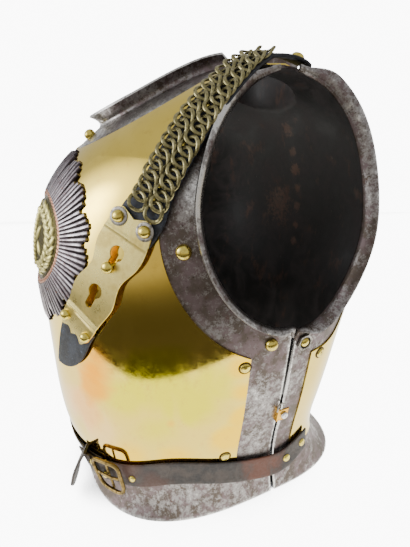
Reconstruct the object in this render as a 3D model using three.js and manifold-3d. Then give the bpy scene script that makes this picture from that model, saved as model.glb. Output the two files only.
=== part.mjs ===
// Cavalry cuirass: steel breastplate and backplate with thin brass facings, a star badge on the breast,
// leather shoulder straps under curb chains, and a leather waist belt.
// Millimetres, +Z up. The wearer faces -Y and the wearer's left is +X. The plates stand on z = 0.
import * as THREE from 'three';
import { mergeVertices } from 'three/addons/utils/BufferGeometryUtils.js';
import Module from 'manifold-3d';

const wasm = await Module();
wasm.setup();

// ---------------------------------------------------------------- driving dimensions

// Torso sections from the rim to the shoulder: height at the middle, depth in front of and behind the
// side line, half width, and how square the front and back halves are (2 is an ellipse, less is keeled).
const sections = [
  { z: 0, front: 171, back: 145, half: 143.5, frontPower: 2.8, backPower: 2.9 },
  { z: 20, front: 165.9, back: 119, half: 141, frontPower: 2.5, backPower: 3.0 },
  { z: 45, front: 176.1, back: 107, half: 139.5, frontPower: 2.2, backPower: 2.9 },
  { z: 100, front: 190.3, back: 115, half: 149.5, frontPower: 1.95, backPower: 2.6 },
  { z: 170, front: 193.7, back: 128, half: 163.5, frontPower: 1.8, backPower: 2.55 },
  { z: 240, front: 195.6, back: 139, half: 174, frontPower: 1.7, backPower: 2.75 },
  { z: 310, front: 187, back: 141, half: 180, frontPower: 1.6, backPower: 3.35 },
  { z: 370, front: 151, back: 131, half: 176, frontPower: 1.8, backPower: 3.35 },
  { z: 415, front: 96, back: 113, half: 167.5, frontPower: 1.95, backPower: 3.1 },
  { z: 445, front: 39.5, back: 70, half: 153, frontPower: 2.1, backPower: 2.8 },
  { z: 455, front: 2, back: 15, half: 139.5, frontPower: 2.2, backPower: 2.7 },
];
const keelSoftness = 0.03;
const shoulderDrop = 21;
const dropWidth = 160;
const dropStart = 200;
const dropSpan = 200;
const centreShift = 29.40467;

const steelThick = 2.4;
const brassLift = 0.62;
const brassThick = 1.2;
const brassTop = brassLift + brassThick;
const gap = 0.35;

// Each plate: sign of its side (+1 front, -1 back), side edge, armhole, brass edge, the brass's top and
// the neck as half ellipses below the shoulder, collar, and the armhole's turned edge.
const plates = {
  breast: {
    sign: 1, sideEdgeFoot: 5, sideEdgeTop: 0.8,
    hole: { y: 2.6, z: 321, reach: 85.5, up: 114, down: 108.5, upPower: 1.7, downPower: 2.1, end: -5.5 },
    brass: { edge: -39, y: 0, z: 300, reach: 111, down: 121, upPower: 1.8, downPower: 2, endX: 125 },
    facingTop: { half: 97, deep: 73 },
    neck: { half: 63, deep: 57 },
    lineShare: 0.3,
    collar: [{ out: -2.2, up: 5.5 }, { out: 1.5, up: 9 }, { out: 7.5, up: 11 }],
    collarRise: 0,
    flange: [{ away: 0.5, up: 4 }, { away: 3.5, up: 8 }],
  },
  back: {
    sign: -1, sideEdgeFoot: 10.5, sideEdgeTop: 6.3,
    hole: { y: 8.1, z: 319, reach: 66, up: 116, down: 110.5, upPower: 2.2, downPower: 2.1, end: 13.6 },
    brass: { edge: 31, y: 14, z: 290, reach: 74, down: 112, upPower: 2.3, downPower: 3.5, endX: 125 },
    facingTop: { half: 97, deep: 52 },
    neck: { half: 63, deep: 28 },
    lineShare: 0.62,
    collar: [{ out: -1.5, up: 6.5 }, { out: 0, up: 13 }, { out: 3, up: 15.5 }],
    collarRise: 2,
    flange: [{ away: 0.8, up: 5.4 }, { away: 4.6, up: 10.4 }],
  },
};
const collarStart = 0.3;
const collarLean = 0.4;
const flangeFade = 0.25;
const flangeFadeRows = 7;
const skirtHeights = [0, 15, 30, 45];
const waistCells = skirtHeights.length - 1;
const sideCells = 4;
const holeCells = 9;
const bandCells = 2;
const tabCells = 2;
const neckCells = 6;
const borderCells = 2;

// Shoulder strap on the wearer's left: centre of the band, as x across and the height of the section
// that it crosses; lift is its clearance over the steel. Rows run from the back over the shoulder.
const strapRoute = [
  { side: -1, x: 124.5, z: 450.5, lift: 4 },
  { side: -1, x: 124.5, z: 452.5, lift: 5 },
  { side: 1, x: 124.5, z: 452, lift: 6 },
  { side: 1, x: 126, z: 443, lift: 5.5 },
  { side: 1, x: 128.5, z: 424, lift: 5 },
  { side: 1, x: 130, z: 402, lift: 4.5 },
  { side: 1, x: 130, z: 378, lift: 4 },
  { side: 1, x: 126.5, z: 353, lift: 3 },
  { side: 1, x: 121, z: 330, lift: 2.6 },
  { side: 1, x: 112, z: 306, lift: 2.6 },
];
const plateRoute = [
  { side: 1, x: 117, z: 328, lift: 6.8 },
  { side: 1, x: 110.8, z: 304, lift: 6.8 },
  { side: 1, x: 102.5, z: 278, lift: 6.4 },
  { side: 1, x: 92.3, z: 253, lift: 6.4 },
  { side: 1, x: 81, z: 229, lift: 6.8 },
  { side: 1, x: 66, z: 206, lift: 6.8 },
];
const tongueRoute = [
  { side: 1, x: 75, z: 218, lift: 2.6 },
  { side: 1, x: 66, z: 202, lift: 2.6 },
  { side: 1, x: 58, z: 182, lift: 2.6 },
  { side: 1, x: 51.5, z: 163, lift: 2.6 },
];
const strapSteps = 18;
const chainSteps = [4, 16];
const strapRivetY = 14;
const strapWidth = 31;
const strapEndWidth = 40;
const leatherThick = 3.2;
const chainWidth = 15.4;
const chainThick = 7;
const chainSpacing = 16.4;

// End plate outline, half widths along its length, 0 at the eared end and 1 at the scalloped end.
const plateOutline = [
  { at: 0, half: 17 },
  { at: 0.14, half: 22 },
  { at: 0.3, half: 22.5 },
  { at: 0.44, half: 17.5 },
  { at: 0.6, half: 22.5 },
  { at: 0.76, half: 20 },
  { at: 0.9, half: 19.5 },
  { at: 1, half: 17 },
];
const plateThick = 1.8;
const plateSteps = 20;
const keyholeSteps = [6, 12];
const studStep = 8;
const keyholeRound = 7;
const keyholeSlot = 3.8;
const keyholeLength = 14.4;
const earStep = 2;
const earSpread = 13.4;
const tailStep = 18;
const tailSpread = 14.6;

const star = {
  z: 287, radius: 87, badge: 48, wide: 1.21, points: 28, edge: 2, rise: 4.5, under: 0.9, lean: 0.93, grow: 0.985,
};
const badgeRise = 7;

const collarStudDrop = 9;

// Height of the belt's middle line by y; y is positive behind the side gap.
const beltRoute = [
  { y: -150, z: 45 },
  { y: -144, z: 46 },
  { y: -107, z: 54.5 },
  { y: -63, z: 49.5 },
  { y: -10, z: 38.5 },
  { y: 16, z: 36.5 },
  { y: 46, z: 47 },
  { y: 56, z: 50 },
];
const beltWide = 27;
const beltThick = 3;
const beltLift = 3;
const beltStackX = 62;
const buckleLift = 13.6;

// Rivet sizes: radius and height of each kind of head.
const heads = {
  dome: { radius: 6.5, height: 5 },
  strap: { radius: 5.2, height: 4.6 },
  flat: { radius: 4.4, height: 1.6 },
};

const colours = {
  steel: { color: 0x5c564f, roughness: 0.45, metalness: 1 },
  brass: { color: 0xc9a35a, roughness: 0.22, metalness: 1 },
  chain: { color: 0xa89a70, roughness: 0.35, metalness: 1 },
  silver: { color: 0xa59ca3, roughness: 0.4, metalness: 1 },
  strapLeather: { color: 0x2d3036, roughness: 0.7, metalness: 0 },
  beltLeather: { color: 0x4a3b33, roughness: 0.75, metalness: 0 },
};

// ---------------------------------------------------------------- curves through the sections

// Natural cubic spline through values at rising knots; returns a function of the knot parameter.
function spline(knots, values) {
  const last = knots.length - 1;
  const bend = new Array(last + 1).fill(0);
  const pivot = new Array(last + 1).fill(0);
  const carry = new Array(last + 1).fill(0);
  for (let i = 1; i < last; i += 1) {
    const before = knots[i] - knots[i - 1];
    const after = knots[i + 1] - knots[i];
    const slope = (values[i + 1] - values[i]) / after - (values[i] - values[i - 1]) / before;
    const weight = 2 * (before + after) - before * pivot[i - 1];
    pivot[i] = after / weight;
    carry[i] = (6 * slope - before * carry[i - 1]) / weight;
  }
  for (let i = last - 1; i > 0; i -= 1) {
    bend[i] = carry[i] - pivot[i] * bend[i + 1];
  }
  return (at) => {
    let i = 0;
    while (i < last - 1 && at > knots[i + 1]) {
      i += 1;
    }
    const step = knots[i + 1] - knots[i];
    const a = (knots[i + 1] - at) / step;
    const b = (at - knots[i]) / step;
    const curve = ((a ** 3 - a) * bend[i] + (b ** 3 - b) * bend[i + 1]) * step * step / 6;
    return a * values[i] + b * values[i + 1] + curve;
  };
}

const stations = [0];
for (let i = 1; i < sections.length; i += 1) {
  const rise = sections[i].z - sections[i - 1].z;
  const depth = (row) => (row.front + row.back) / 2;
  stations.push(stations[i - 1] + Math.hypot(rise, depth(sections[i]) - depth(sections[i - 1])));
}
const girthTop = stations[stations.length - 1];
const along = (key) => spline(stations, sections.map((row) => row[key]));
const heightAt = along('z');
const halfAt = along('half');
const depthAt = { 1: along('front'), [-1]: along('back') };
const powerAt = { 1: along('frontPower'), [-1]: along('backPower') };

const smoothstep = (v) => {
  const c = Math.min(1, Math.max(0, v));
  return c * c * (3 - 2 * c);
};

// Lowers a section's height towards the shoulders.
function sag(z, x) {
  return z - shoulderDrop * smoothstep((z - dropStart) / dropSpan) * (x / dropWidth) ** 2;
}

// Point of the outer surface. The turn is 0 at the side and +-90 degrees at the middle of front or back.
function torso(side, turn, at) {
  const power = powerAt[side](at);
  const rounded = (v) => Math.hypot(v, keelSoftness) - keelSoftness;
  const soft = (v) => rounded(v) / rounded(1);
  const c = Math.cos(turn);
  const s = Math.sin(turn);
  const r = (soft(c) ** power + soft(s) ** power) ** (-1 / power);
  const x = halfAt(at) * r * c;
  return new THREE.Vector3(x, -side * depthAt[side](at) * r * s, sag(heightAt(at), x));
}

function torsoNormal(side, turn, at) {
  const e = 1e-3;
  const dTurn = torso(side, turn + e, at).sub(torso(side, turn - e, at));
  const low = Math.max(at - 0.2, 0);
  const high = Math.min(at + 0.2, girthTop);
  const dAt = torso(side, turn, high).sub(torso(side, turn, low));
  return dTurn.cross(dAt).normalize().multiplyScalar(-side);
}

// Halving search for the value where a falling or rising function meets a target.
function search(target, value, low, high) {
  let a = low;
  let b = high;
  const rising = value(high) > value(low);
  for (let i = 0; i < 40; i += 1) {
    const mid = (a + b) / 2;
    if ((value(mid) < target) === rising) {
      a = mid;
    } else {
      b = mid;
    }
  }
  return (a + b) / 2;
}

const quarter = Math.PI / 2;
const turnAtY = (side, y, at) => search(Math.abs(y), (t) => Math.abs(torso(side, t, at).y), 0, quarter);
const turnAtX = (side, x, at) => search(x, (t) => torso(side, t, at).x, 0, quarter);

// Side view: the place where the surface has this y and z.
function placeBySide(y, z) {
  const side = y <= 0 ? 1 : -1;
  const at = search(z, (a) => torso(side, turnAtY(side, y, a), a).z, 0, girthTop);
  return { side, turn: turnAtY(side, y, at), at };
}

// Front view: the place on one side where the surface has this x and z.
function placeByFront(side, x, z) {
  const at = search(z, (a) => torso(side, turnAtX(side, x, a), a).z, 0, girthTop);
  return { side, turn: turnAtX(side, x, at), at };
}

// Top view: the place near the shoulder with this x and y.
function placeByTop(side, x, y) {
  const shoulder = stations[7];
  const at = search(Math.abs(y), (a) => Math.abs(torso(side, turnAtX(side, x, a), a).y), shoulder, girthTop);
  return { side, turn: turnAtX(side, x, at), at };
}

// ---------------------------------------------------------------- solids from grids of points

function toGeometry(points, triangles) {
  const geometry = new THREE.BufferGeometry();
  const flat = points.flatMap((p) => [p.x, p.y, p.z]);
  geometry.setAttribute('position', new THREE.Float32BufferAttribute(flat, 3));
  geometry.setIndex(triangles.flat());
  return closed(geometry);
}

// Shared vertices only, no flat triangles, faces outward.
function closed(source) {
  source.deleteAttribute('normal');
  source.deleteAttribute('uv');
  const geometry = mergeVertices(source, 1e-3);
  const position = geometry.getAttribute('position');
  const index = geometry.getIndex().array;
  const kept = [];
  let volume = 0;
  const corner = (i) => new THREE.Vector3().fromBufferAttribute(position, i);
  for (let k = 0; k < index.length; k += 3) {
    const [a, b, c] = [index[k], index[k + 1], index[k + 2]];
    if (a !== b && b !== c && c !== a) {
      kept.push(a, b, c);
      volume += corner(a).dot(corner(b).cross(corner(c)));
    }
  }
  if (volume < 0) {
    kept.reverse();
  }
  geometry.setIndex(kept);
  return geometry;
}

// A wall between two grids of points; cells(i, j) says which squares of the grid are there. Each
// square is cut along the shorter diagonal of the base grid.
function shell(outer, inner, cells, base = outer) {
  const columns = outer.length;
  const rows = outer[0].length;
  const points = [...outer.flat(), ...inner.flat()];
  const top = (i, j) => i * rows + j;
  const under = (i, j) => columns * rows + i * rows + j;
  const there = (i, j) => i >= 0 && j >= 0 && i < columns - 1 && j < rows - 1 && cells(i, j);
  const triangles = [];
  const wall = (a, b) => {
    const [p, q, r, s] = [top(...a), top(...b), under(...b), under(...a)];
    triangles.push([p, q, r], [p, r, s]);
  };
  for (let i = 0; i < columns - 1; i += 1) {
    for (let j = 0; j < rows - 1; j += 1) {
      if (there(i, j)) {
        const [a, b, c, d] = [[i, j], [i + 1, j], [i + 1, j + 1], [i, j + 1]];
        const rising = base[i][j].distanceTo(base[i + 1][j + 1]);
        const falling = base[i + 1][j].distanceTo(base[i][j + 1]);
        const [p, q, r, s] = rising < falling ? [a, b, c, d] : [b, c, d, a];
        triangles.push([top(...p), top(...r), top(...q)], [top(...p), top(...s), top(...r)]);
        triangles.push([under(...p), under(...q), under(...r)], [under(...p), under(...r), under(...s)]);
        if (!there(i, j - 1)) {
          wall(a, b);
        }
        if (!there(i + 1, j)) {
          wall(b, c);
        }
        if (!there(i, j + 1)) {
          wall(c, d);
        }
        if (!there(i - 1, j)) {
          wall(d, a);
        }
      }
    }
  }
  const used = [...new Set(triangles.flat())];
  const renumber = new Map(used.map((old, fresh) => [old, fresh]));
  return toGeometry(used.map((k) => points[k]), triangles.map((t) => t.map((k) => renumber.get(k))));
}

function toManifold(geometry) {
  const vertProperties = new Float32Array(geometry.getAttribute('position').array);
  const triVerts = new Uint32Array(geometry.getIndex().array);
  return new wasm.Manifold(new wasm.Mesh({ numProp: 3, vertProperties, triVerts }));
}

function fromManifold(solid) {
  const mesh = solid.getMesh();
  const geometry = new THREE.BufferGeometry();
  geometry.setAttribute('position', new THREE.Float32BufferAttribute(mesh.vertProperties, 3));
  geometry.setIndex([...mesh.triVerts]);
  return closed(geometry);
}

const cuirass = new THREE.Group();
cuirass.position.set(0, centreShift, 0);

function add(name, geometry, colour) {
  const mesh = new THREE.Mesh(geometry, new THREE.MeshStandardMaterial(colours[colour]));
  mesh.name = name;
  cuirass.add(mesh);
  return mesh;
}

function mirrored(geometry) {
  const copy = geometry.clone();
  copy.scale(-1, 1, 1);
  return closed(copy);
}

// Adds a piece for the wearer's left and its mirror image for the right.
function addPair(name, geometry, colour) {
  add(`${name}_left`, geometry, colour);
  add(`${name}_right`, mirrored(geometry), colour);
}

// ---------------------------------------------------------------- breastplate and backplate

const lerp = THREE.MathUtils.lerp;

// Turn measured over both halves: positive towards the front, negative towards the back.
const signedTurn = (place) => place.side * place.turn;

function fromSigned(turn, at) {
  const side = turn >= 0 ? 1 : -1;
  return { side, turn: Math.abs(turn), at };
}

// Half outline of a plate from the rim to the shoulder: the side edge, then the armhole.
function outerEdge(plate) {
  const { sign, hole } = plate;
  const armpit = hole.z - hole.down;
  const sideAt = (z) => placeBySide(lerp(plate.sideEdgeFoot, plate.sideEdgeTop, z / armpit), z);
  const places = skirtHeights.map(sideAt);
  for (let k = 1; k <= sideCells; k += 1) {
    places.push(sideAt(lerp(skirtHeights[waistCells], armpit, k / sideCells)));
  }
  const last = Math.asin((sign * (hole.y - hole.end) / hole.reach) ** (hole.upPower / 2));
  for (let k = 1; k <= holeCells; k += 1) {
    const angle = lerp(Math.PI, last, k / holeCells);
    const c = Math.cos(angle);
    const power = c > 0 ? hole.upPower : hole.downPower;
    const y = hole.y - sign * hole.reach * Math.sin(angle) ** (2 / power);
    const height = Math.sign(c) * (c > 0 ? hole.up : hole.down) * Math.abs(c) ** (2 / power);
    places.push(placeBySide(y, hole.z + height));
  }
  return places;
}

// Half outline of the brass facing: up the side strip, round below the armhole, up to the shoulder.
function brassEdge(plate, shoulder) {
  const { sign, brass } = plate;
  const places = skirtHeights.map((z) => placeBySide(brass.edge, z));
  const { downPower, upPower } = brass;
  const across = (y) => Math.abs(y - brass.y) / brass.reach;
  const foot = brass.z - brass.down * (1 - across(brass.edge) ** downPower) ** (1 / downPower);
  for (let k = 1; k <= sideCells; k += 1) {
    places.push(placeBySide(brass.edge, lerp(skirtHeights[waistCells], foot, k / sideCells)));
  }
  const end = torso(shoulder.side, shoulder.turn, shoulder.at);
  const low = -Math.acos(across(brass.edge) ** (downPower / 2));
  const high = Math.acos(across(end.y) ** (upPower / 2));
  const up = (end.z - brass.z) / Math.sin(high) ** (2 / upPower);
  for (let k = 1; k < holeCells; k += 1) {
    const angle = lerp(low, high, k / holeCells);
    const s = Math.sin(angle);
    const power = s > 0 ? upPower : downPower;
    const y = brass.y - sign * brass.reach * Math.cos(angle) ** (2 / power);
    const height = Math.sign(s) * (s > 0 ? up : brass.down) * Math.abs(s) ** (2 / power);
    places.push(placeBySide(y, brass.z + height));
  }
  places.push(shoulder);
  return places;
}

// Half of the brass's top edge or of the neck opening, from the shoulder to the middle.
function neckEdge(plate, { half, deep }) {
  const corner = placeByTop(plate.sign, half, plate.hole.end);
  const top = torso(corner.side, corner.turn, corner.at).z;
  const places = [corner];
  for (let k = 1; k <= neckCells; k += 1) {
    const angle = quarter * k / neckCells;
    places.push(placeByFront(plate.sign, half * Math.cos(angle), top - deep * Math.sin(angle)));
  }
  return places;
}

// A line up the plate that ends at the brass's corner on the shoulder.
function tabLine(plate, facing, foot) {
  const waist = signedTurn(facing[waistCells]);
  const waistTurn = lerp(waist, plate.sign * quarter, plate.lineShare);
  return facing.map((place, j) => {
    if (j <= waistCells) {
      return fromSigned(lerp(signedTurn(place), plate.sign * quarter, plate.lineShare), place.at);
    }
    const part = (j - waistCells) / (facing.length - 1 - waistCells);
    return fromSigned(lerp(waistTurn, signedTurn(foot), part), lerp(facing[waistCells].at, foot.at, part));
  });
}

// Places spread evenly between two lines of places.
function between(first, second, cells) {
  const columns = [];
  for (let i = 0; i < cells; i += 1) {
    const part = i / cells;
    columns.push(first.map((place, j) => fromSigned(
      lerp(signedTurn(place), signedTurn(second[j]), part),
      lerp(place.at, second[j].at, part),
    )));
  }
  return columns;
}

// Grid of places over half a plate; columns run from the side edge to the middle, rows from the rim to
// the top of the brass.
function plateGrid(plate) {
  const shoulder = placeByTop(plate.sign, plate.brass.endX, plate.hole.end);
  const edge = outerEdge(plate);
  const facing = brassEdge(plate, shoulder);
  const top = neckEdge(plate, plate.facingTop);
  const tab = tabLine(plate, facing, top[0]);
  const grid = [...between(edge, facing, bandCells), ...between(facing, tab, tabCells), tab];
  const climb = (j) => Math.max(0, (j - waistCells) / (edge.length - 1 - waistCells));
  const middleAt = (j) => (j <= waistCells ? facing[j].at
    : lerp(facing[waistCells].at, top[neckCells].at, climb(j)));
  for (let i = 1; i <= neckCells; i += 1) {
    const part = i / neckCells;
    const bendTurn = signedTurn(top[i]) - lerp(signedTurn(top[0]), signedTurn(top[neckCells]), part);
    const bendAt = top[i].at - lerp(top[0].at, top[neckCells].at, part);
    grid.push(tab.map((place, j) => fromSigned(
      lerp(signedTurn(place), plate.sign * quarter, part) + climb(j) ** 1.5 * bendTurn,
      lerp(place.at, middleAt(j), part) + climb(j) ** 1.5 * bendAt,
    )));
  }
  return grid;
}

// The armhole's turned edge: columns of points lifted off the plate's edge and leaning back over it.
function flangeColumns(plate, grid, outer) {
  const first = waistCells + sideCells;
  const rows = grid[0].length;
  return [...plate.flange].reverse().map((step) => grid[0].map((place, j) => {
    const point = outer[0][j];
    if (j < first) {
      return point;
    }
    const normal = torsoNormal(place.side, place.turn, place.at);
    const run = outer[0][Math.min(j + 1, rows - 1)].clone().sub(outer[0][Math.max(j - 1, first)]);
    const away = run.cross(normal).normalize();
    if (away.dot(outer[1][j].clone().sub(point)) < 0) {
      away.negate();
    }
    const fade = 1 - (1 - flangeFade) * smoothstep((j - rows + flangeFadeRows) / 3);
    return point.clone().addScaledVector(away, step.away * fade).addScaledVector(normal, step.up * fade);
  }));
}

// Rows past the brass's top: the bare border over the body up to the neck, then the leaning collar.
function collarRows(plate, top) {
  const neck = neckEdge(plate, plate.neck);
  return top.map((place, i) => {
    const rows = [];
    for (let k = 1; k <= borderCells; k += 1) {
      const part = k / borderCells;
      const turn = lerp(signedTurn(place), signedTurn(neck[i]), part);
      const between = fromSigned(turn, lerp(place.at, neck[i].at, part));
      rows.push(torso(between.side, between.turn, between.at));
    }
    const angle = quarter * i / neckCells;
    const height = i === 0 ? collarStart : 1;
    const away = collarLean + (1 - collarLean) * Math.sin(angle);
    const lean = new THREE.Vector3(collarLean * Math.cos(angle), -plate.sign * away, 0);
    const rise = height * (1 + plate.collarRise * Math.sin(angle));
    const base = rows[borderCells - 1];
    for (const { out, up } of plate.collar) {
      rows.push(base.clone().addScaledVector(lean, out * height).setZ(base.z + up * rise));
    }
    return rows;
  });
}

// Averaged normals of a grid, pointing out of the body.
function gridNormals(grid, cells) {
  const normals = grid.map((column) => column.map(() => new THREE.Vector3()));
  for (let i = 0; i < grid.length - 1; i += 1) {
    for (let j = 0; j < grid[0].length - 1; j += 1) {
      if (cells(i, j)) {
        const across = grid[i + 1][j + 1].clone().sub(grid[i][j]);
        const other = grid[i][j + 1].clone().sub(grid[i + 1][j]);
        const normal = across.cross(other).normalize();
        for (const [a, b] of [[i, j], [i + 1, j], [i, j + 1], [i + 1, j + 1]]) {
          normals[a][b].add(normal);
        }
      }
    }
  }
  return normals.map((column) => column.map((normal) => normal.normalize()));
}

function offset(grid, normals, distance) {
  return grid.map((column, i) => column.map((point, j) => {
    const moved = point.clone().addScaledVector(normals[i][j], distance);
    if (j === 0) {
      moved.z = 0;
    }
    return moved;
  }));
}

// Builds one plate and its facing from the half grid, its mirror image, the flange and the collar.
function buildPlate(plate, plateName, facingName) {
  const grid = plateGrid(plate);
  const surface = grid.map((column) => column.map((p) => torso(p.side, p.turn, p.at)));
  const shoulderRow = surface[0].length - 1;
  const flangeWidth = plate.flange.length;
  const tabColumn = bandCells + tabCells;
  const collar = collarRows(plate, grid.slice(tabColumn).map((column) => column[shoulderRow]));
  const extra = borderCells + plate.collar.length;
  const beyond = (column, i) => (i < flangeWidth + tabColumn
    ? Array(extra).fill(column[shoulderRow]) : collar[i - flangeWidth - tabColumn]);
  const half = [...flangeColumns(plate, grid, surface), ...surface]
    .map((column, i) => [...column, ...beyond(column, i)]);
  const flip = (p) => new THREE.Vector3(-p.x, p.y, p.z);
  const full = [...half, ...half.slice(0, -1).reverse().map((column) => column.map(flip))];
  const columns = full.length - 1;
  const fromEdge = (i) => Math.min(i, columns - 1 - i);
  const isPlate = (i, j) => {
    const column = fromEdge(i);
    if (column < flangeWidth) {
      return j >= waistCells + sideCells && j < shoulderRow;
    }
    return j < shoulderRow || column >= flangeWidth + tabColumn;
  };
  const normals = gridNormals(full, isPlate);
  const middle = Math.floor(full.length / 2);
  if (normals[middle][2].y * plate.sign > 0) {
    normals.forEach((column) => column.forEach((normal) => normal.negate()));
  }
  add(plateName, shell(full, offset(full, normals, -steelThick), isPlate, full), 'steel');

  const isFacing = (i, j) => fromEdge(i) >= flangeWidth + bandCells && j >= waistCells && j < shoulderRow;
  const facingOuter = offset(full, normals, brassTop);
  add(facingName, shell(facingOuter, offset(full, normals, brassLift), isFacing, full), 'brass');
}

buildPlate(plates.breast, 'breastplate', 'breast_facing');
buildPlate(plates.back, 'backplate', 'back_facing');

// ---------------------------------------------------------------- bands that lie on the body

// Frame of a band at one place of its route: centre, direction along, direction across, outward.
function bandFrames(route, count) {
  const knots = route.map((_, i) => i);
  const x = spline(knots, route.map((row) => row.x));
  const z = spline(knots, route.map((row) => row.z));
  const lift = spline(knots, route.map((row) => row.lift));
  const switchAt = route.findIndex((row, i) => i > 0 && row.side !== route[i - 1].side);
  const centres = [];
  for (let k = 0; k <= count; k += 1) {
    const u = k / count * (route.length - 1);
    const side = switchAt > 0 && u < switchAt - 0.5 ? -1 : 1;
    const at = search(z(u), heightAt, 0, girthTop);
    const turn = turnAtX(side, x(u), at);
    const normal = torsoNormal(side, turn, at);
    centres.push({ point: torso(side, turn, at).addScaledVector(normal, lift(u)), normal });
  }
  return centres.map(({ point, normal }, k) => {
    const next = centres[Math.min(k + 1, count)].point;
    const before = centres[Math.max(k - 1, 0)].point;
    const forward = next.clone().sub(before).normalize();
    const across = normal.clone().cross(forward).normalize();
    return { point, forward, across, normal: forward.clone().cross(across).normalize() };
  });
}

// A flat band: thickness, and half width given along its length from 0 to 1.
function band(frames, thick, halfWidth, cellsAcross = 2) {
  const last = frames.length - 1;
  const layer = (lift) => frames.map((frame, k) => {
    const width = halfWidth(k / last);
    const row = [];
    for (let i = 0; i <= cellsAcross; i += 1) {
      const side = (2 * i / cellsAcross - 1) * width;
      row.push(frame.point.clone().addScaledVector(frame.across, side).addScaledVector(frame.normal, lift));
    }
    return row;
  });
  return shell(layer(thick), layer(0), () => true);
}

// An oval bar along the frames, set off to one side, with flat ends.
function bar(frames, aside, lift, width, thick) {
  const sides = 8;
  const rings = frames.map((frame) => {
    const ring = [];
    for (let k = 0; k < sides; k += 1) {
      const angle = 2 * Math.PI * (k + 0.5) / sides;
      ring.push(frame.point.clone()
        .addScaledVector(frame.across, aside + width / 2 * Math.cos(angle))
        .addScaledVector(frame.normal, lift + thick / 2 * Math.sin(angle)));
    }
    return ring;
  });
  const triangles = [];
  for (let j = 0; j < rings.length - 1; j += 1) {
    for (let k = 0; k < sides; k += 1) {
      const a = j * sides + k;
      const b = j * sides + (k + 1) % sides;
      triangles.push([a, b, b + sides], [a, b + sides, a + sides]);
    }
  }
  const end = (rings.length - 1) * sides;
  for (let k = 1; k < sides - 1; k += 1) {
    triangles.push([0, k + 1, k], [end, end + k, end + k + 1]);
  }
  return toGeometry(rings.flat(), triangles);
}

// ---------------------------------------------------------------- rivets and studs

// A round head on a point, standing along a direction.
function head({ radius, height }, point, normal, neck = 0) {
  const profile = [new THREE.Vector2(0, 0)];
  if (neck > 0) {
    profile.push(new THREE.Vector2(radius * 0.5, 0), new THREE.Vector2(radius * 0.5, neck));
  }
  profile.push(
    new THREE.Vector2(radius, neck),
    new THREE.Vector2(radius * 0.93, neck + height * 0.45),
    new THREE.Vector2(radius * 0.6, neck + height * 0.86),
    new THREE.Vector2(0, neck + height),
  );
  const geometry = new THREE.LatheGeometry(profile, 8);
  geometry.applyQuaternion(new THREE.Quaternion().setFromUnitVectors(new THREE.Vector3(0, 1, 0), normal));
  geometry.translate(point.x, point.y, point.z);
  return closed(geometry);
}

// A head on the body itself, at a place, lifted clear of what lies there.
function headOnBody(kind, place, lift, neck = 0) {
  const normal = torsoNormal(place.side, place.turn, place.at);
  const point = torso(place.side, place.turn, place.at).addScaledVector(normal, lift);
  return head(heads[kind], point, normal, neck);
}

function headOnBand(kind, frame, aside, lift) {
  const point = frame.point.clone().addScaledVector(frame.across, aside).addScaledVector(frame.normal, lift);
  return head(heads[kind], point, frame.normal);
}

// ---------------------------------------------------------------- shoulder straps

function tableWidth(table) {
  return spline(table.map((row) => row.at), table.map((row) => row.half));
}

// A tool shape for one keyhole: a round and a slot below it, through the plate.
function keyholeTool(frame) {
  const depth = 12;
  const shape = new THREE.Shape();
  const slotStart = -Math.acos(keyholeSlot / keyholeRound);
  shape.absarc(0, 0, keyholeRound, slotStart, Math.PI - slotStart, false);
  shape.lineTo(-keyholeSlot, -keyholeLength);
  shape.absarc(0, -keyholeLength, keyholeSlot, Math.PI, 2 * Math.PI, false);
  const tool = new THREE.ExtrudeGeometry(shape, { depth, bevelEnabled: false, curveSegments: 4 });
  tool.translate(0, 0, -depth / 2);
  const turn = new THREE.Matrix4().makeBasis(frame.across, frame.forward.clone().negate(), frame.normal);
  tool.applyMatrix4(turn);
  tool.translate(frame.point.x, frame.point.y, frame.point.z);
  return closed(tool);
}

function buildStraps() {
  const strap = bandFrames(strapRoute, strapSteps);
  const widening = (part) => lerp(strapWidth, strapEndWidth, smoothstep((part - 0.8) / 0.12)) / 2;
  addPair('shoulder_strap', band(strap, leatherThick, widening), 'strapLeather');
  const chainFrames = strap.slice(chainSteps[0], chainSteps[1] + 1);
  const chainLift = leatherThick + gap + chainThick / 2;
  addPair('chain_inner', bar(chainFrames, -chainSpacing / 2, chainLift, chainWidth, chainThick), 'chain');
  addPair('chain_outer', bar(chainFrames, chainSpacing / 2, chainLift, chainWidth, chainThick), 'chain');

  const plate = bandFrames(plateRoute, plateSteps);
  const width = tableWidth(plateOutline);
  let solid = toManifold(band(plate, plateThick, width));
  for (const step of keyholeSteps) {
    solid = solid.subtract(toManifold(keyholeTool(plate[step])));
  }
  addPair('end_plate', fromManifold(solid), 'brass');

  const tongue = bandFrames(tongueRoute, 8);
  const rounded = (part) => 19 * Math.sqrt(1 - Math.max(0, (part - 0.55) / 0.5) ** 2);
  addPair('strap_tongue', band(tongue, leatherThick, rounded), 'strapLeather');

  const lift = plateThick + gap;
  for (const [end, step, spread] of [['ear', earStep, earSpread], ['tail', tailStep, tailSpread]]) {
    addPair(`rivet_${end}_inner`, headOnBand('strap', plate[step], -spread, lift), 'brass');
    addPair(`rivet_${end}_outer`, headOnBand('strap', plate[step], spread, lift), 'brass');
  }
  const behind = strap.filter((frame) => frame.point.y > strapRivetY);
  const rivetFrame = behind[behind.length - 1];
  addPair('rivet_strap_back', headOnBand('dome', rivetFrame, 0, leatherThick + gap), 'brass');

  const studFrame = plate[studStep];
  const studHead = { radius: 4.6, height: 5 };
  const studLift = studFrame.point.clone().addScaledVector(studFrame.normal, -3.8);
  addPair('strap_stud', head(studHead, studLift, studFrame.normal, 6.4), 'brass');
}

buildStraps();

// ---------------------------------------------------------------- star badge

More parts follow.
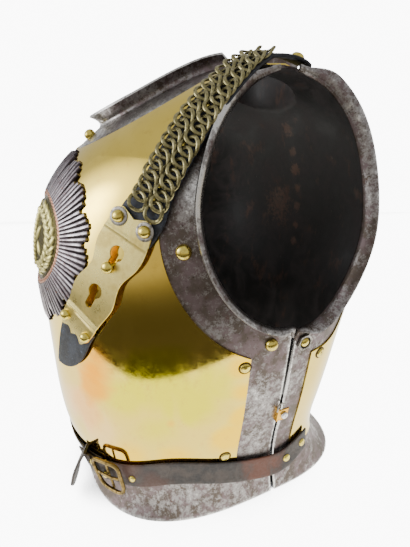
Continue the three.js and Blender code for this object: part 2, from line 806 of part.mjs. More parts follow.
// Place on the breast for a spot of the badge, as a distance and direction from its middle.
function badgePoint(distance, angle, lift) {
  const beyond = Math.min(Math.max((distance - star.badge) / (star.radius - star.badge), 0), 1);
  const x = star.lean * lerp(star.wide, 1, beyond) * distance * Math.cos(angle);
  const place = placeByFront(1, Math.abs(x), star.z + star.grow * distance * Math.sin(angle));
  const point = torso(1, place.turn, place.at);
  const normal = torsoNormal(1, place.turn, place.at);
  if (x < 0) {
    point.x *= -1;
    normal.x *= -1;
  }
  if (Math.abs(x) < 1e-6) {
    normal.x = 0;
  }
  return point.addScaledVector(normal.normalize(), brassTop + lift);
}

// A ring-shaped or full disc of the badge from rows of {radius, lift}, top and flat underside.
function badgeSolid(steps, rows, under) {
  const layer = (list, liftOf) => {
    const grid = [];
    for (let k = 0; k <= steps; k += 1) {
      const index = k % steps;
      const angle = 2 * Math.PI * index / steps;
      grid.push(list.map((row) => badgePoint(row.radius(index), angle, liftOf(row, index))));
    }
    return grid;
  };
  const top = layer(rows, (row, index) => row.lift(index));
  const bottom = layer(rows, () => under);
  const points = [...top.flat(), ...bottom.flat()];
  const width = rows.length;
  const last = width - 1;
  const triangles = [];
  for (let k = 0; k < steps; k += 1) {
    for (let r = 0; r < last; r += 1) {
      const a = k * width + r;
      const b = (k + 1) * width + r;
      const shift = top.length * width;
      triangles.push([a, a + 1, b + 1], [a, b + 1, b]);
      triangles.push([shift + a, shift + b + 1, shift + a + 1], [shift + a, shift + b, shift + b + 1]);
      if (r === last - 1) {
        triangles.push([a + 1, shift + a + 1, shift + b + 1], [a + 1, shift + b + 1, b + 1]);
      }
      if (r === 0 && rows[0].radius(0) > 0) {
        triangles.push([a, b, shift + b], [a, shift + b, shift + a]);
      }
    }
  }
  return toGeometry(points, triangles);
}

function buildStar() {
  const steps = star.points * 2;
  const reach = (k) => star.radius * (k % 4 === 1 ? 0.88 : 0.97 + 0.03 * Math.cos(Math.PI * (k % 8) / 4));
  const ridge = (k) => (k % 2 ? 0 : 1.2);
  const rows = [
    { radius: () => star.badge + 1, lift: () => star.rise },
    { radius: () => (star.badge + star.radius) / 2, lift: (k) => star.rise - 1.4 + ridge(k) },
    { radius: reach, lift: (k) => star.edge + 0.8 * ridge(k) },
  ];
  add('star_rays', badgeSolid(steps, rows, star.under), 'silver');
}

function buildMedallion() {
  const dome = [
    { radius: () => 0, lift: () => badgeRise },
    { radius: () => star.badge * 0.4, lift: () => badgeRise - 0.4 },
    { radius: () => star.badge * 0.75, lift: () => badgeRise - 1.6 },
    { radius: () => star.badge * 0.86, lift: () => badgeRise - 2.2 },
    { radius: () => star.badge * 0.92, lift: () => badgeRise - 0.6 },
    { radius: () => star.badge, lift: () => star.rise },
  ];
  add('star_medallion', badgeSolid(24, dome, star.under), 'brass');
}

buildStar();
buildMedallion();

// ---------------------------------------------------------------- plate rivets, studs and side clips

function buildPlateRivets() {
  const bare = gap;
  addPair('rivet_breast_hole', headOnBody('dome', placeBySide(-95, 289), bare + brassTop), 'brass');
  addPair('rivet_breast_side', headOnBody('dome', placeBySide(-20.5, 199), bare), 'brass');
  addPair('rivet_breast_strip', headOnBody('flat', placeBySide(-44, 178), bare + brassTop), 'steel');
  addPair('rivet_breast_waist', headOnBody('flat', placeBySide(-52, 68.5), bare + brassTop + gap), 'steel');
  addPair('rivet_back_hole', headOnBody('dome', placeBySide(18.5, 193), bare), 'steel');
  addPair('rivet_back_strip', headOnBody('flat', placeBySide(44.6, 173), bare + brassTop), 'steel');
  const neck = neckEdge(plates.breast, plates.breast.neck)[neckCells];
  const place = placeByFront(1, 0, torso(1, quarter, neck.at).z - collarStudDrop);
  add('collar_stud', headOnBody('dome', { ...place, turn: quarter }, bare), 'brass');
}

// The clip that hooks the two plates together over the side gap.
function buildClips() {
  const place = placeBySide(3, 112);
  const middle = torso(place.side, place.turn, place.at);
  const outline = new THREE.Shape();
  outline.moveTo(-9, -11);
  outline.lineTo(9, -11);
  outline.lineTo(9, 3);
  outline.lineTo(1, 4);
  outline.lineTo(1, 11);
  outline.lineTo(-9, 11);
  const plate = new THREE.ExtrudeGeometry(outline, { depth: 1.4, bevelEnabled: false });
  const lean = Math.atan2(14, 70);
  const turn = new THREE.Matrix4().makeBasis(
    new THREE.Vector3(0, 1, 0),
    new THREE.Vector3(Math.sin(lean), 0, Math.cos(lean)),
    new THREE.Vector3(Math.cos(lean), 0, -Math.sin(lean)),
  );
  plate.applyMatrix4(turn);
  plate.translate(middle.x + 2.4, middle.y + 2, middle.z);
  addPair('side_clip', closed(plate), 'brass');
  const out = new THREE.Vector3(Math.cos(lean), 0, -Math.sin(lean));
  const screw = new THREE.Vector3(middle.x + 2.4, middle.y + 5, middle.z - 4).addScaledVector(out, 1.4 + gap);
  addPair('clip_screw', head({ radius: 4.2, height: 2.6 }, screw, out), 'steel');
}

buildPlateRivets();
buildClips();

// ---------------------------------------------------------------- waist belt

const beltMiddle = 48;
const beltAt = search(beltMiddle, heightAt, 0, girthTop);
const beltZ = spline(beltRoute.map((row) => row.y), beltRoute.map((row) => row.z));

// The place on the plates under the belt at a turn, so far above the belt's middle line.
function beltPlace(turn, above) {
  const side = turn >= 0 ? 1 : -1;
  const { y } = torso(side, Math.abs(turn), beltAt);
  const known = Math.min(Math.max(y, beltRoute[0].y), beltRoute[beltRoute.length - 1].y);
  return { side, turn: Math.abs(turn), at: search(beltZ(known) + above, heightAt, 0, girthTop) };
}

// A stretch of belt between two turns, following the plates; lift(x, front) is its clearance.
function beltBand(start, end, count, lift) {
  const rows = 2;
  const layer = (extra) => {
    const grid = [];
    for (let k = 0; k <= count; k += 1) {
      const row = [];
      for (let r = 0; r <= rows; r += 1) {
        const p = beltPlace(lerp(start, end, k / count), beltWide * (r / rows - 0.5));
        const normal = torsoNormal(p.side, p.turn, p.at);
        normal.z = 0;
        const point = torso(p.side, p.turn, p.at);
        const rise = lift(point.x, p.side === 1 && point.y < -60) + extra;
        row.push(point.addScaledVector(normal.normalize(), rise));
      }
      grid.push(row);
    }
    return grid;
  };
  return shell(layer(beltThick), layer(0), () => true);
}

// Turn of the belt's middle height at a given x on the front, or y on the side.
const beltTurnAtX = (x) => (x < 0 ? Math.PI - turnAtX(1, -x, beltAt) : turnAtX(1, x, beltAt));
const beltTurnAtBack = (y) => -turnAtY(-1, y, beltAt);

// A frame over the belt's middle line at a turn.
function beltFrame(turn, lift) {
  const place = beltPlace(turn, 0);
  const normal = torsoNormal(place.side, place.turn, place.at);
  normal.z = 0;
  normal.normalize();
  const point = torso(place.side, place.turn, place.at).addScaledVector(normal, lift);
  return { point, normal };
}

function buildBelt() {
  const rear = beltTurnAtBack(54);
  const over = (x) => beltLift + (beltThick + 0.8) * smoothstep((beltStackX + 14 - x) / 14);
  const freeEnd = (x) => 8 * smoothstep((52 - x) / 60);
  add('belt_left', beltBand(rear, beltTurnAtX(-6), 26, (x, front) => (
    front ? over(x) + freeEnd(x) : beltLift)), 'beltLeather');
  add('belt_right', mirrored(beltBand(rear, beltTurnAtX(-56), 26, () => beltLift)), 'beltLeather');

  const frame = beltFrame(beltTurnAtX(66), buckleLift);
  const ring = new THREE.Shape();
  ring.moveTo(-11, -21);
  ring.lineTo(11, -21);
  ring.lineTo(11, 21);
  ring.lineTo(-11, 21);
  const hole = new THREE.Path();
  hole.moveTo(-7, -17);
  hole.lineTo(7, -17);
  hole.lineTo(7, 17);
  hole.lineTo(-7, 17);
  ring.holes.push(hole);
  const buckle = new THREE.ExtrudeGeometry(ring, { depth: 3, bevelEnabled: false });
  const up = new THREE.Vector3(0, 0, 1);
  const acrossFace = up.clone().cross(frame.normal);
  buckle.applyMatrix4(new THREE.Matrix4().makeBasis(acrossFace, up, frame.normal));
  buckle.translate(frame.point.x, frame.point.y, frame.point.z);
  add('belt_buckle', closed(buckle), 'brass');

  for (const [name, y] of [['front', 23.5], ['rear', 47]]) {
    const spot = beltFrame(beltTurnAtBack(y), beltLift + beltThick + gap);
    addPair(`rivet_belt_${name}`, head(heads.flat, spot.point, spot.normal), 'brass');
  }
}

buildBelt();

export default cuirass;
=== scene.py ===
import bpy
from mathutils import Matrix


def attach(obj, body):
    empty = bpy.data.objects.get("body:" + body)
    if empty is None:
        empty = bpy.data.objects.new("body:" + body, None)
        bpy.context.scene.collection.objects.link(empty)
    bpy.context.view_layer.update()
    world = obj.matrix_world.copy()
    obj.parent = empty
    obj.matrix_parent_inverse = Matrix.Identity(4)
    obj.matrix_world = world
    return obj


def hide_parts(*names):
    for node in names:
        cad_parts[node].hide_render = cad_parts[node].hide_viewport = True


bl_info = {
    "name": "Cuirass",
    "version": (1, 0, 0),
    "blender": (4, 5, 0),
    "location": "3D View > Sidebar > Cuirass",
    "description": "Builds a cuirass of steel faced with brass, with its chains, star badge and belt.",
    "category": "Object",
}

import math

import bpy
import numpy as np
from mathutils import Matrix, Vector

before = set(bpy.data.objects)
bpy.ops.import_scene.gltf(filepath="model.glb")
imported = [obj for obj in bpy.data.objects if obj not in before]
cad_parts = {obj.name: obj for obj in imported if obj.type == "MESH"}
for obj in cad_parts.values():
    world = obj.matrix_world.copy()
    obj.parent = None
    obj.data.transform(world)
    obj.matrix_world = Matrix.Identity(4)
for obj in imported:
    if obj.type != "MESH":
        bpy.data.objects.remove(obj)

# Sizes are in millimetres in the wearer's axes: x to the left arm, y to the back, z up.
MM = 0.001
CENTRE_SHIFT = 29.40467
QUARTER = math.pi / 2

# Horizontal sections of the body, from the bottom rim to the shoulder.
SECTION_COLUMNS = ("z", "front", "back", "half", "front_power", "back_power")
SECTIONS = (
    (0, 171, 145, 143.5, 2.8, 2.9),
    (20, 165.9, 119, 141, 2.5, 3.0),
    (45, 176.1, 107, 139.5, 2.2, 2.9),
    (100, 190.3, 115, 149.5, 1.95, 2.6),
    (170, 193.7, 128, 163.5, 1.8, 2.55),
    (240, 195.6, 139, 174, 1.7, 2.75),
    (310, 187, 141, 180, 1.6, 3.35),
    (370, 151, 131, 176, 1.8, 3.35),
    (415, 96, 113, 167.5, 1.95, 3.1),
    (445, 39.5, 70, 153, 2.1, 2.8),
    (455, 2, 15, 139.5, 2.2, 2.7),
)
SECTION = {name: np.array([row[i] for row in SECTIONS], float) for i, name in enumerate(SECTION_COLUMNS)}
SHOULDER_SECTION = 7
KEEL_SOFTNESS = 0.03
SHOULDER_DROP = 21
DROP_WIDTH = 160
DROP_START = 200
DROP_SPAN = 200

STEEL_THICK = 2.2
BRASS_LIFT = 0.3
BRASS_TOP = 1.35
FACING_BEVEL = 0.3
GAP = 0.3
WAIST_HEIGHT = 45

# Each plate: side edge, armhole, edge of the brass, neck line, collar profile and armhole lip profile.
PLATES = {
    "breast": {
        "sign": 1,
        "side_foot": 5, "side_top": 0.8,
        "hole": {"y": 2.6, "z": 321, "reach": 85.5, "up": 114, "down": 108.5,
                 "up_power": 1.7, "down_power": 2.1, "end": -5.5},
        "brass": {"edge": -39, "y": 0, "z": 300, "reach": 111, "down": 121,
                  "up_power": 1.8, "down_power": 2, "end_x": 125},
        "facing_top": {"half": 97, "deep": 73},
        "neck": {"half": 63, "deep": 57},
        "line_share": 0.3,
        "collar": ((0, 0), (-2, 2.5), (-2.2, 5.5), (0.5, 8.3), (5, 10.4), (7.5, 11)),
        "collar_rise": 0,
        "lip": ((0, 0), (0.1, 2.2), (0.4, 4.6), (1.4, 6.6), (3.2, 8)),
    },
    "back": {
        "sign": -1,
        "side_foot": 10.5, "side_top": 6.3,
        "hole": {"y": 8.1, "z": 319, "reach": 66, "up": 116, "down": 110.5,
                 "up_power": 2.2, "down_power": 2.1, "end": 13.6},
        "brass": {"edge": 31, "y": 14, "z": 290, "reach": 74, "down": 112,
                  "up_power": 2.3, "down_power": 3.5, "end_x": 125},
        "facing_top": {"half": 97, "deep": 52},
        "neck": {"half": 63, "deep": 28},
        "line_share": 0.62,
        "collar": ((0, 0), (-1.5, 4), (-1.5, 9), (0, 13), (3, 15.5)),
        "collar_rise": 2.0,
        "lip": ((0, 0), (0.3, 2.6), (0.9, 5.4), (2.2, 8.2), (4.6, 10.4)),
    },
}
# Squares of a plate's grid: up the skirt, the side and the armhole, in from the edge to the brass and on
# to the tab line, along the neck, up its bare border and its collar, and across the armhole's lip.
SKIRT_CELLS = 14
SIDE_CELLS = 34
HOLE_CELLS = 81
BAND_CELLS = 10
TAB_CELLS = 14
NECK_CELLS = 48
BORDER_CELLS = 10
COLLAR_CELLS = 12
LIP_CELLS = 7


def sizes():
    """The sizes and colours that the panel shows."""
    return bpy.context.scene.cuirass_sizes


# ---------------------------------------------------------------- curves and the body's surface

def spline(knots, values):
    """Natural cubic spline through values at rising knots: a function of the knot parameter, for whole
    arrays. Between knots it is a*v0 + b*v1 + ((a^3-a)*m0 + (b^3-b)*m1)*h^2/6, where m is the second
    derivative."""
    knots = np.asarray(knots, float)
    values = np.asarray(values, float)
    step = np.diff(knots)
    slope = np.diff(values, axis=0) / step.reshape((-1,) + (1,) * (values.ndim - 1))
    system = np.eye(len(knots))
    right = np.zeros_like(values)
    inner = np.arange(1, len(knots) - 1)
    system[inner, inner - 1] = step[:-1]
    system[inner, inner] = 2 * (step[:-1] + step[1:])
    system[inner, inner + 1] = step[1:]
    right[1:-1] = 6 * np.diff(slope, axis=0)
    bend = np.linalg.solve(system, right)

    def value(at):
        at = np.asarray(at, float)
        i = np.clip(np.searchsorted(knots, at) - 1, 0, len(step) - 1)
        grow = (slice(None),) * at.ndim + (None,) * (values.ndim - 1)
        h = step[i][grow]
        a = ((knots[i + 1] - at) / step[i])[grow]
        b = ((at - knots[i]) / step[i])[grow]
        curve = ((a ** 3 - a) * bend[i] + (b ** 3 - b) * bend[i + 1]) * h * h / 6
        return a * values[i] + b * values[i + 1] + curve

    return value


def angles(count):
    """Equal steps round a whole turn."""
    return np.arange(count) * 2 * math.pi / count


def smoothstep(v):
    """A soft step from 0 to 1: 3v^2 - 2v^3."""
    v = np.clip(v, 0, 1)
    return v * v * (3 - 2 * v)


def lerp(a, b, part):
    """A straight blend from a to b."""
    return a + (b - a) * part


def unit(v):
    """Each vector divided by its length."""
    return v / np.maximum(np.linalg.norm(v, axis=-1, keepdims=True), 1e-9)


STATIONS = np.concatenate(([0.0], np.cumsum(np.hypot(
    np.diff(SECTION["z"]), np.diff((SECTION["front"] + SECTION["back"]) / 2)))))
GIRTH_TOP = STATIONS[-1]
ALONG = {name: spline(STATIONS, SECTION[name]) for name in SECTION_COLUMNS}


def torso(turn, at):
    """Points of the outer surface. turn is 0 at the side, 90 degrees at the middle of the front, negative
    over the back; at runs from the rim to the shoulder. Each section is a rounded superellipse,
    |x|^p + |y|^p = 1, scaled by its half width and depth, and sinks towards the shoulder."""
    front = turn >= 0
    power = np.where(front, ALONG["front_power"](at), ALONG["back_power"](at))
    depth = np.where(front, -ALONG["front"](at), ALONG["back"](at))

    def soft(v):
        return (np.hypot(v, KEEL_SOFTNESS) - KEEL_SOFTNESS) / (math.hypot(1, KEEL_SOFTNESS) - KEEL_SOFTNESS)

    c = np.cos(turn)
    s = np.sin(np.abs(turn))
    r = (soft(c) ** power + soft(s) ** power) ** (-1 / power)
    x = ALONG["half"](at) * r * c
    z = ALONG["z"](at)
    z = z - SHOULDER_DROP * smoothstep((z - DROP_START) / DROP_SPAN) * (x / DROP_WIDTH) ** 2
    return np.stack([x, depth * r * s, z], -1)


def torso_normal(turn, at):
    """Outward normals, from the surface's two derivatives."""
    small = 2e-3
    across = torso(turn + small, at) - torso(turn - small, at)
    up = torso(turn, np.minimum(at + 0.3, GIRTH_TOP)) - torso(turn, np.maximum(at - 0.3, 0))
    return -unit(np.cross(across, up))


def search(function, target, low, high):
    """Halving search, for whole arrays, where a rising or falling function meets its target."""
    target = np.asarray(target, float)
    low = np.full(target.shape, float(low))
    high = np.full(target.shape, float(high))
    rising = function(high) > function(low)
    for _ in range(34):
        middle = (low + high) / 2
        below = (function(middle) < target) == rising
        low = np.where(below, middle, low)
        high = np.where(below, high, middle)
    return (low + high) / 2


def turn_at_y(sign, y, at):
    """The turn on the front (1) or back (-1) where the section at this station has this y."""
    return sign * search(lambda t: np.abs(torso(sign * t, at)[..., 1]), np.abs(y), 0, QUARTER)


def turn_at_x(sign, x, at):
    """The turn on the front (1) or back (-1) where the section at this station has this x."""
    return sign * search(lambda t: torso(sign * t, at)[..., 0], x, 0, QUARTER)


def place_by_side(sign, y, z):
    """Where the side view shows the surface at this y and z."""
    at = search(lambda a: torso(turn_at_y(sign, y, a), a)[..., 2], z, 0, GIRTH_TOP)
    return np.stack([turn_at_y(sign, y, at), at], -1)


def place_by_front(sign, x, z):
    """Where the front or back view shows the surface at this x and z."""
    at = search(lambda a: torso(turn_at_x(sign, x, a), a)[..., 2], z, 0, GIRTH_TOP)
    return np.stack([turn_at_x(sign, x, at), at], -1)


def place_by_top(sign, x, y):
    """Where the top view shows the shoulder at this x and y."""
    low = STATIONS[SHOULDER_SECTION]
    at = search(lambda a: np.abs(torso(turn_at_x(sign, x, a), a)[..., 1]), np.abs(y), low, GIRTH_TOP)
    return np.stack([turn_at_x(sign, x, at), at], -1)


def on_body(places, lift=0.0):
    """Points over the body at places of (turn, at), with their normals."""
    places = np.asarray(places, float)
    normals = torso_normal(places[..., 0], places[..., 1])
    return torso(places[..., 0], places[..., 1]) + normals * lift, normals


# ---------------------------------------------------------------- meshes

LATHE_STEPS = 28
DOME_STEPS = 9


def collection():
    """The collection that holds every piece."""
    found = bpy.data.collections.get("Cuirass")
    if found is None:
        found = bpy.data.collections.new("Cuirass")
        bpy.context.scene.collection.children.link(found)
    return found


def make_object(name, points, faces, materials, kinds=None, smooth=42):
    """An object from points in the wearer's axes and lists of faces. kinds gives each face's material."""
    points = np.asarray(points, float).reshape(-1, 3) + (0, CENTRE_SHIFT, 0)
    name = name.replace(" ", "_")
    mesh = bpy.data.meshes.new(name)
    mesh.from_pydata((points * MM).tolist(), [], faces)
    for material in materials:
        mesh.materials.append(material)
    if kinds is not None:
        mesh.polygons.foreach_set("material_index", np.asarray(kinds, np.int32))
    mesh.shade_smooth()
    mesh.set_sharp_from_angle(angle=math.radians(smooth))
    mesh.update()
    thing = bpy.data.objects.new(name, mesh)
    collection().objects.link(thing)
    return thing


def finish_piece(thing, nodes):
    """Puts a piece on the one body, in place of its CAD nodes."""
    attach(thing, "root")
    if nodes:
        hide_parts(*nodes)


def add_piece(name, part, nodes, material, smooth=42):
    """Makes one finished piece from its points and faces."""
    finish_piece(make_object(name, *part, [material], smooth=smooth), nodes)


def add_pair(name, part, node, material, smooth=42):
    """Makes a piece for the wearer's left, and its mirror image for the right."""
    for side, half in (("left", part), ("right", mirror(*part))):
        add_piece(f"{name} {side}", half, [f"{node}_{side}"] if node else [], material, smooth)


def outward(points, faces):
    """The faces turned outward, by the sign of the closed mesh's volume."""
    volume = 0.0
    for corners in ((0, 1, 2), (0, 2, 3)):
        a, b, c = (points[faces[:, corner]] for corner in corners)
        volume += np.einsum("ij,ij->i", a, np.cross(b, c)).sum()
    return faces if volume > 0 else faces[:, ::-1]


def shell(outer, inner, keep=None):
    """A closed wall between two grids of points. keep marks the squares that are there. Returns points,
    faces, the grid index of each point, and 0, 1 or 2 for outer, inner and edge faces."""
    columns, rows = outer.shape[:2]
    count = columns * rows
    if keep is None:
        keep = np.ones((columns - 1, rows - 1), bool)
    index = np.arange(count).reshape(columns, rows)
    corners = np.stack([index[:-1, :-1], index[1:, :-1], index[1:, 1:], index[:-1, 1:]], -1)
    top = corners[keep]
    parts = [top, top[:, ::-1] + count]
    around = np.pad(keep, 1)
    sides = (
        (keep & ~around[1:-1, :-2], 0, 1),
        (keep & ~around[2:, 1:-1], 1, 2),
        (keep & ~around[1:-1, 2:], 2, 3),
        (keep & ~around[:-2, 1:-1], 3, 0),
    )
    for mask, first, second in sides:
        edge = corners[mask][:, [first, second]]
        parts.append(np.stack([edge[:, 1], edge[:, 0], edge[:, 0] + count, edge[:, 1] + count], -1))
    faces = np.concatenate(parts)
    kinds = np.full(len(faces), 2)
    kinds[:len(top)] = 0
    kinds[len(top):2 * len(top)] = 1
    used, faces = np.unique(faces, return_inverse=True)
    points = np.concatenate([outer.reshape(-1, 3), inner.reshape(-1, 3)])[used]
    return points, outward(points, faces.reshape(-1, 4)), used % count, kinds


def loft(rings, closed=False):
    """A tube through rings of points, with flat ends, or joined end to end when closed."""
    rings = np.asarray(rings, float)
    count, around = rings.shape[:2]
    index = np.arange(count * around).reshape(count, around)
    after = np.roll(index, -1, axis=1)
    ahead = np.roll(index, -1, axis=0)
    ahead_after = np.roll(after, -1, axis=0)
    faces = np.stack([index, ahead, ahead_after, after], -1)
    if not closed:
        faces = faces[:-1]
    points = rings.reshape(-1, 3)
    faces = faces.reshape(-1, 4)
    if closed:
        return points, outward(points, faces).tolist()
    middle = np.stack([rings[0].mean(0), rings[-1].mean(0)])
    points = np.concatenate([points, middle])
    first, last = len(points) - 2, len(points) - 1
    cap = np.stack([np.full(around, first), index[0], after[0], after[0]], -1)
    end = np.stack([np.full(around, last), after[-1], index[-1], index[-1]], -1)
    whole = outward(points, np.concatenate([faces, cap, end]))
    return points, [list(dict.fromkeys(face)) for face in whole.tolist()]


def merge(parts):
    """Several (points, faces) pairs as one."""
    points, faces, base = [], [], 0
    for part_points, part_faces in parts:
        points.append(np.asarray(part_points, float))
        faces.extend([[k + base for k in face] for face in part_faces])
        base += len(part_points)
    return np.concatenate(points), faces


def mirror(points, faces):
    """The same piece on the wearer's other side."""
    flipped = np.asarray(points, float) * (-1, 1, 1)
    return flipped, [list(reversed(face)) for face in faces]


def circle(axis, guide, count):
    """Points of a unit circle square to an axis: cos*aside + sin*other, starting square to the guide."""
    aside = unit(np.cross(axis, guide))
    other = np.cross(axis, aside)
    angle = angles(count)
    return np.cos(angle)[:, None] * aside + np.sin(angle)[:, None] * other, angle


def lathe(profile, point, axis):
    """A solid turned about an axis: profile rows are radius and height, from the axis to the axis."""
    profile = np.asarray(profile, float)
    axis = unit(np.asarray(axis, float))
    around, _ = circle(axis, (0.31, 0.2, 0.93), LATHE_STEPS)
    inner = profile[1:-1]
    rings = point + inner[:, 0, None, None] * around + inner[:, 1, None, None] * axis
    points, faces = loft(rings)
    points[-2] = point + profile[0, 1] * axis
    points[-1] = point + profile[-1, 1] * axis
    return points, faces


def dome(radius, height):
    """Profile of a rivet head: a quarter of a superellipse, r = R*cos^0.8 and h = H*sin."""
    angle = np.linspace(0, QUARTER, DOME_STEPS)[:-1]
    rows = [(0, 0)] + [(radius * math.cos(a) ** 0.8, height * math.sin(a)) for a in angle]
    return rows + [(0, height)]


# ---------------------------------------------------------------- the plates

def outer_edge(plate):
    """Half outline of a plate: up the side edge, then round the armhole to the shoulder."""
    sign, hole = plate["sign"], plate["hole"]
    armpit = hole["z"] - hole["down"]
    skirt = np.linspace(0, WAIST_HEIGHT, SKIRT_CELLS + 1)
    side = np.linspace(WAIST_HEIGHT, armpit, SIDE_CELLS + 1)[1:]
    z = np.concatenate([skirt, side])
    y = lerp(plate["side_foot"], plate["side_top"], z / armpit)
    last = math.asin((sign * (hole["y"] - hole["end"]) / hole["reach"]) ** (hole["up_power"] / 2))
    angle = lerp(math.pi, last, np.arange(1, HOLE_CELLS + 1) / HOLE_CELLS)
    c = np.cos(angle)
    power = np.where(c > 0, hole["up_power"], hole["down_power"])
    reach = np.where(c > 0, hole["up"], hole["down"])
    y = np.concatenate([y, hole["y"] - sign * hole["reach"] * np.sin(angle) ** (2 / power)])
    z = np.concatenate([z, hole["z"] + np.sign(c) * reach * np.abs(c) ** (2 / power)])
    over = np.abs(y) < 1e-6
    y = np.where(over, 1e-6, y)
    front = np.where(y <= 0, 1, -1)
    return place_by_side(front, y, z)


def brass_edge(plate):
    """Half outline of the brass: up the side strip, round below the armhole, up to the shoulder."""
    sign, brass = plate["sign"], plate["brass"]
    down, up = brass["down_power"], brass["up_power"]
    shoulder = place_by_top(sign, brass["end_x"], plate["hole"]["end"])
    end = torso(shoulder[0], shoulder[1])

    def across(y):
        return abs(y - brass["y"]) / brass["reach"]

    foot = brass["z"] - brass["down"] * (1 - across(brass["edge"]) ** down) ** (1 / down)
    z = np.concatenate([np.linspace(0, WAIST_HEIGHT, SKIRT_CELLS + 1),
                        np.linspace(WAIST_HEIGHT, foot, SIDE_CELLS + 1)[1:]])
    low = -math.acos(across(brass["edge"]) ** (down / 2))
    high = math.acos(across(end[1]) ** (up / 2))
    rise = (end[2] - brass["z"]) / math.sin(high) ** (2 / up)
    angle = lerp(low, high, np.arange(1, HOLE_CELLS) / HOLE_CELLS)
    s = np.sin(angle)
    power = np.where(s > 0, up, down)
    y = np.concatenate([np.full(len(z), float(brass["edge"])),
                        brass["y"] - sign * brass["reach"] * np.cos(angle) ** (2 / power)])
    z = np.concatenate([z, brass["z"] + np.sign(s) * np.where(s > 0, rise, brass["down"])
                        * np.abs(s) ** (2 / power)])
    return np.concatenate([place_by_side(sign, y, z), shoulder[None]])


def neck_edge(plate, line):
    """Half of the brass's top edge or of the neck opening: x = half*cos, and deep*sin below the shoulder."""
    sign, half, deep = plate["sign"], plate[line]["half"], plate[line]["deep"]
    corner = place_by_top(sign, half, plate["hole"]["end"])
    angle = QUARTER * np.arange(NECK_CELLS + 1) / NECK_CELLS
    top = torso(corner[0], corner[1])[2]
    places = place_by_front(sign, half * np.cos(angle), top - deep * np.sin(angle))
    places[0] = corner
    return places


def tab_line(plate, facing, foot):
    """A line up the plate that ends at the corner of the brass on the shoulder."""
    low = facing[:SKIRT_CELLS + 1].copy()
    low[:, 0] = lerp(low[:, 0], plate["sign"] * QUARTER, plate["line_share"])
    part = np.linspace(0, 1, len(facing) - SKIRT_CELLS)[1:, None]
    return np.concatenate([low, lerp(low[-1], foot, part)])


def plate_grid(plate):
    """Places over half a plate, as columns from the side edge to the middle and rows from the rim to the
    top of the brass, blended between the outline, the brass's edge, the tab line and the brass's top."""
    edge = outer_edge(plate)
    facing = brass_edge(plate)
    top = neck_edge(plate, "facing_top")
    tab = tab_line(plate, facing, top[0])
    rows = len(edge)
    band = [lerp(edge, facing, i / BAND_CELLS) for i in range(BAND_CELLS)]
    inner = [lerp(facing, tab, i / TAB_CELLS) for i in range(TAB_CELLS)]
    j = np.arange(rows)
    climb = np.clip((j - SKIRT_CELLS) / (rows - 1 - SKIRT_CELLS), 0, 1)
    middle = np.where(j <= SKIRT_CELLS, facing[j, 1], lerp(facing[SKIRT_CELLS, 1], top[-1, 1], climb))
    goal = np.stack([np.full(rows, plate["sign"] * QUARTER), middle], -1)
    columns = []
    count = len(top) - 1
    for i, place in enumerate(top):
        part = i / count
        bend = place - lerp(top[0], top[-1], part)
        columns.append(lerp(tab, goal, part) + climb[:, None] ** 1.5 * bend)
    return np.array(band + inner + columns)


def lip_columns(plate, places, surface):
    """The armhole's turned edge: columns lifted off the plate's edge, from its rim inward."""
    first = SKIRT_CELLS + SIDE_CELLS
    edge = surface[0]
    normals = torso_normal(places[0, :, 0], places[0, :, 1])
    run = np.gradient(edge, axis=0)
    away = unit(np.cross(run, normals))
    away *= np.sign(np.einsum("ij,ij->i", away, surface[1] - edge))[:, None]
    row = np.arange(len(edge))
    rise = 0.1 + 0.9 * smoothstep((row - first + 2) / 9)
    fall = 1 - 0.75 * smoothstep((row - len(edge) + 13) / 10)
    grow = rise * fall
    profile = np.array(plate["lip"], float)
    curve = spline(np.linspace(0, 1, len(profile)), profile)
    columns = []
    for step in range(LIP_CELLS, 0, -1):
        aside, up = curve(step / LIP_CELLS)
        columns.append(edge + away * (aside * grow)[:, None] + normals * (up * grow)[:, None])
    return np.array(columns)


def collar_rows(plate, top):
    """The rows past the brass's top: a bare border over the body up to the neck, then the collar, which
    leans out from the neck and has a rounded outer end."""
    angle = QUARTER * np.arange(NECK_CELLS + 1) / NECK_CELLS
    neck = neck_edge(plate, "neck")
    rows = [torso(*lerp(top, neck, k / BORDER_CELLS).T) for k in range(1, BORDER_CELLS + 1)]
    base = rows[-1]
    along = np.concatenate([[0], np.cumsum(np.linalg.norm(np.diff(base, axis=0), axis=1))])
    corner = np.clip((along - 4) / 6, 0, 1)
    height = 0.12 + 0.88 * np.sqrt(1 - (1 - corner) ** 2)
    rise = height * (1 + plate["collar_rise"] * np.sin(angle))
    profile = np.array(plate["collar"], float)
    curve = spline(np.linspace(0, 1, len(profile)), profile)
    for k in range(1, COLLAR_CELLS + 1):
        out, up = curve(k / COLLAR_CELLS)
        lean = np.stack([0.4 * np.cos(angle), -plate["sign"] * (0.4 + 0.6 * np.sin(angle)), 0 * angle], -1)
        rows.append(base + out * height[:, None] * lean + (up * rise)[:, None] * (0, 0, 1))
    return np.array(rows).transpose(1, 0, 2)


def grid_normals(grid, keep, sign):
    """Averaged normals of the kept squares of a grid, pointing away from the body."""
    a, b, c, d = grid[:-1, :-1], grid[1:, :-1], grid[1:, 1:], grid[:-1, 1:]
    face = np.cross(c - a, d - b) * keep[..., None]
    total = np.zeros_like(grid)
    total[:-1, :-1] += face
    total[1:, :-1] += face
    total[1:, 1:] += face
    total[:-1, 1:] += face
    normals = unit(total)
    middle = grid.shape[0] // 2
    return normals if normals[middle, 3, 1] * sign < 0 else -normals


def offset(grid, normals, distance):
    """The grid moved along its normals, with its rim kept on the ground."""
    moved = grid + normals * distance
    moved[:, 0, 2] = 0
    return moved


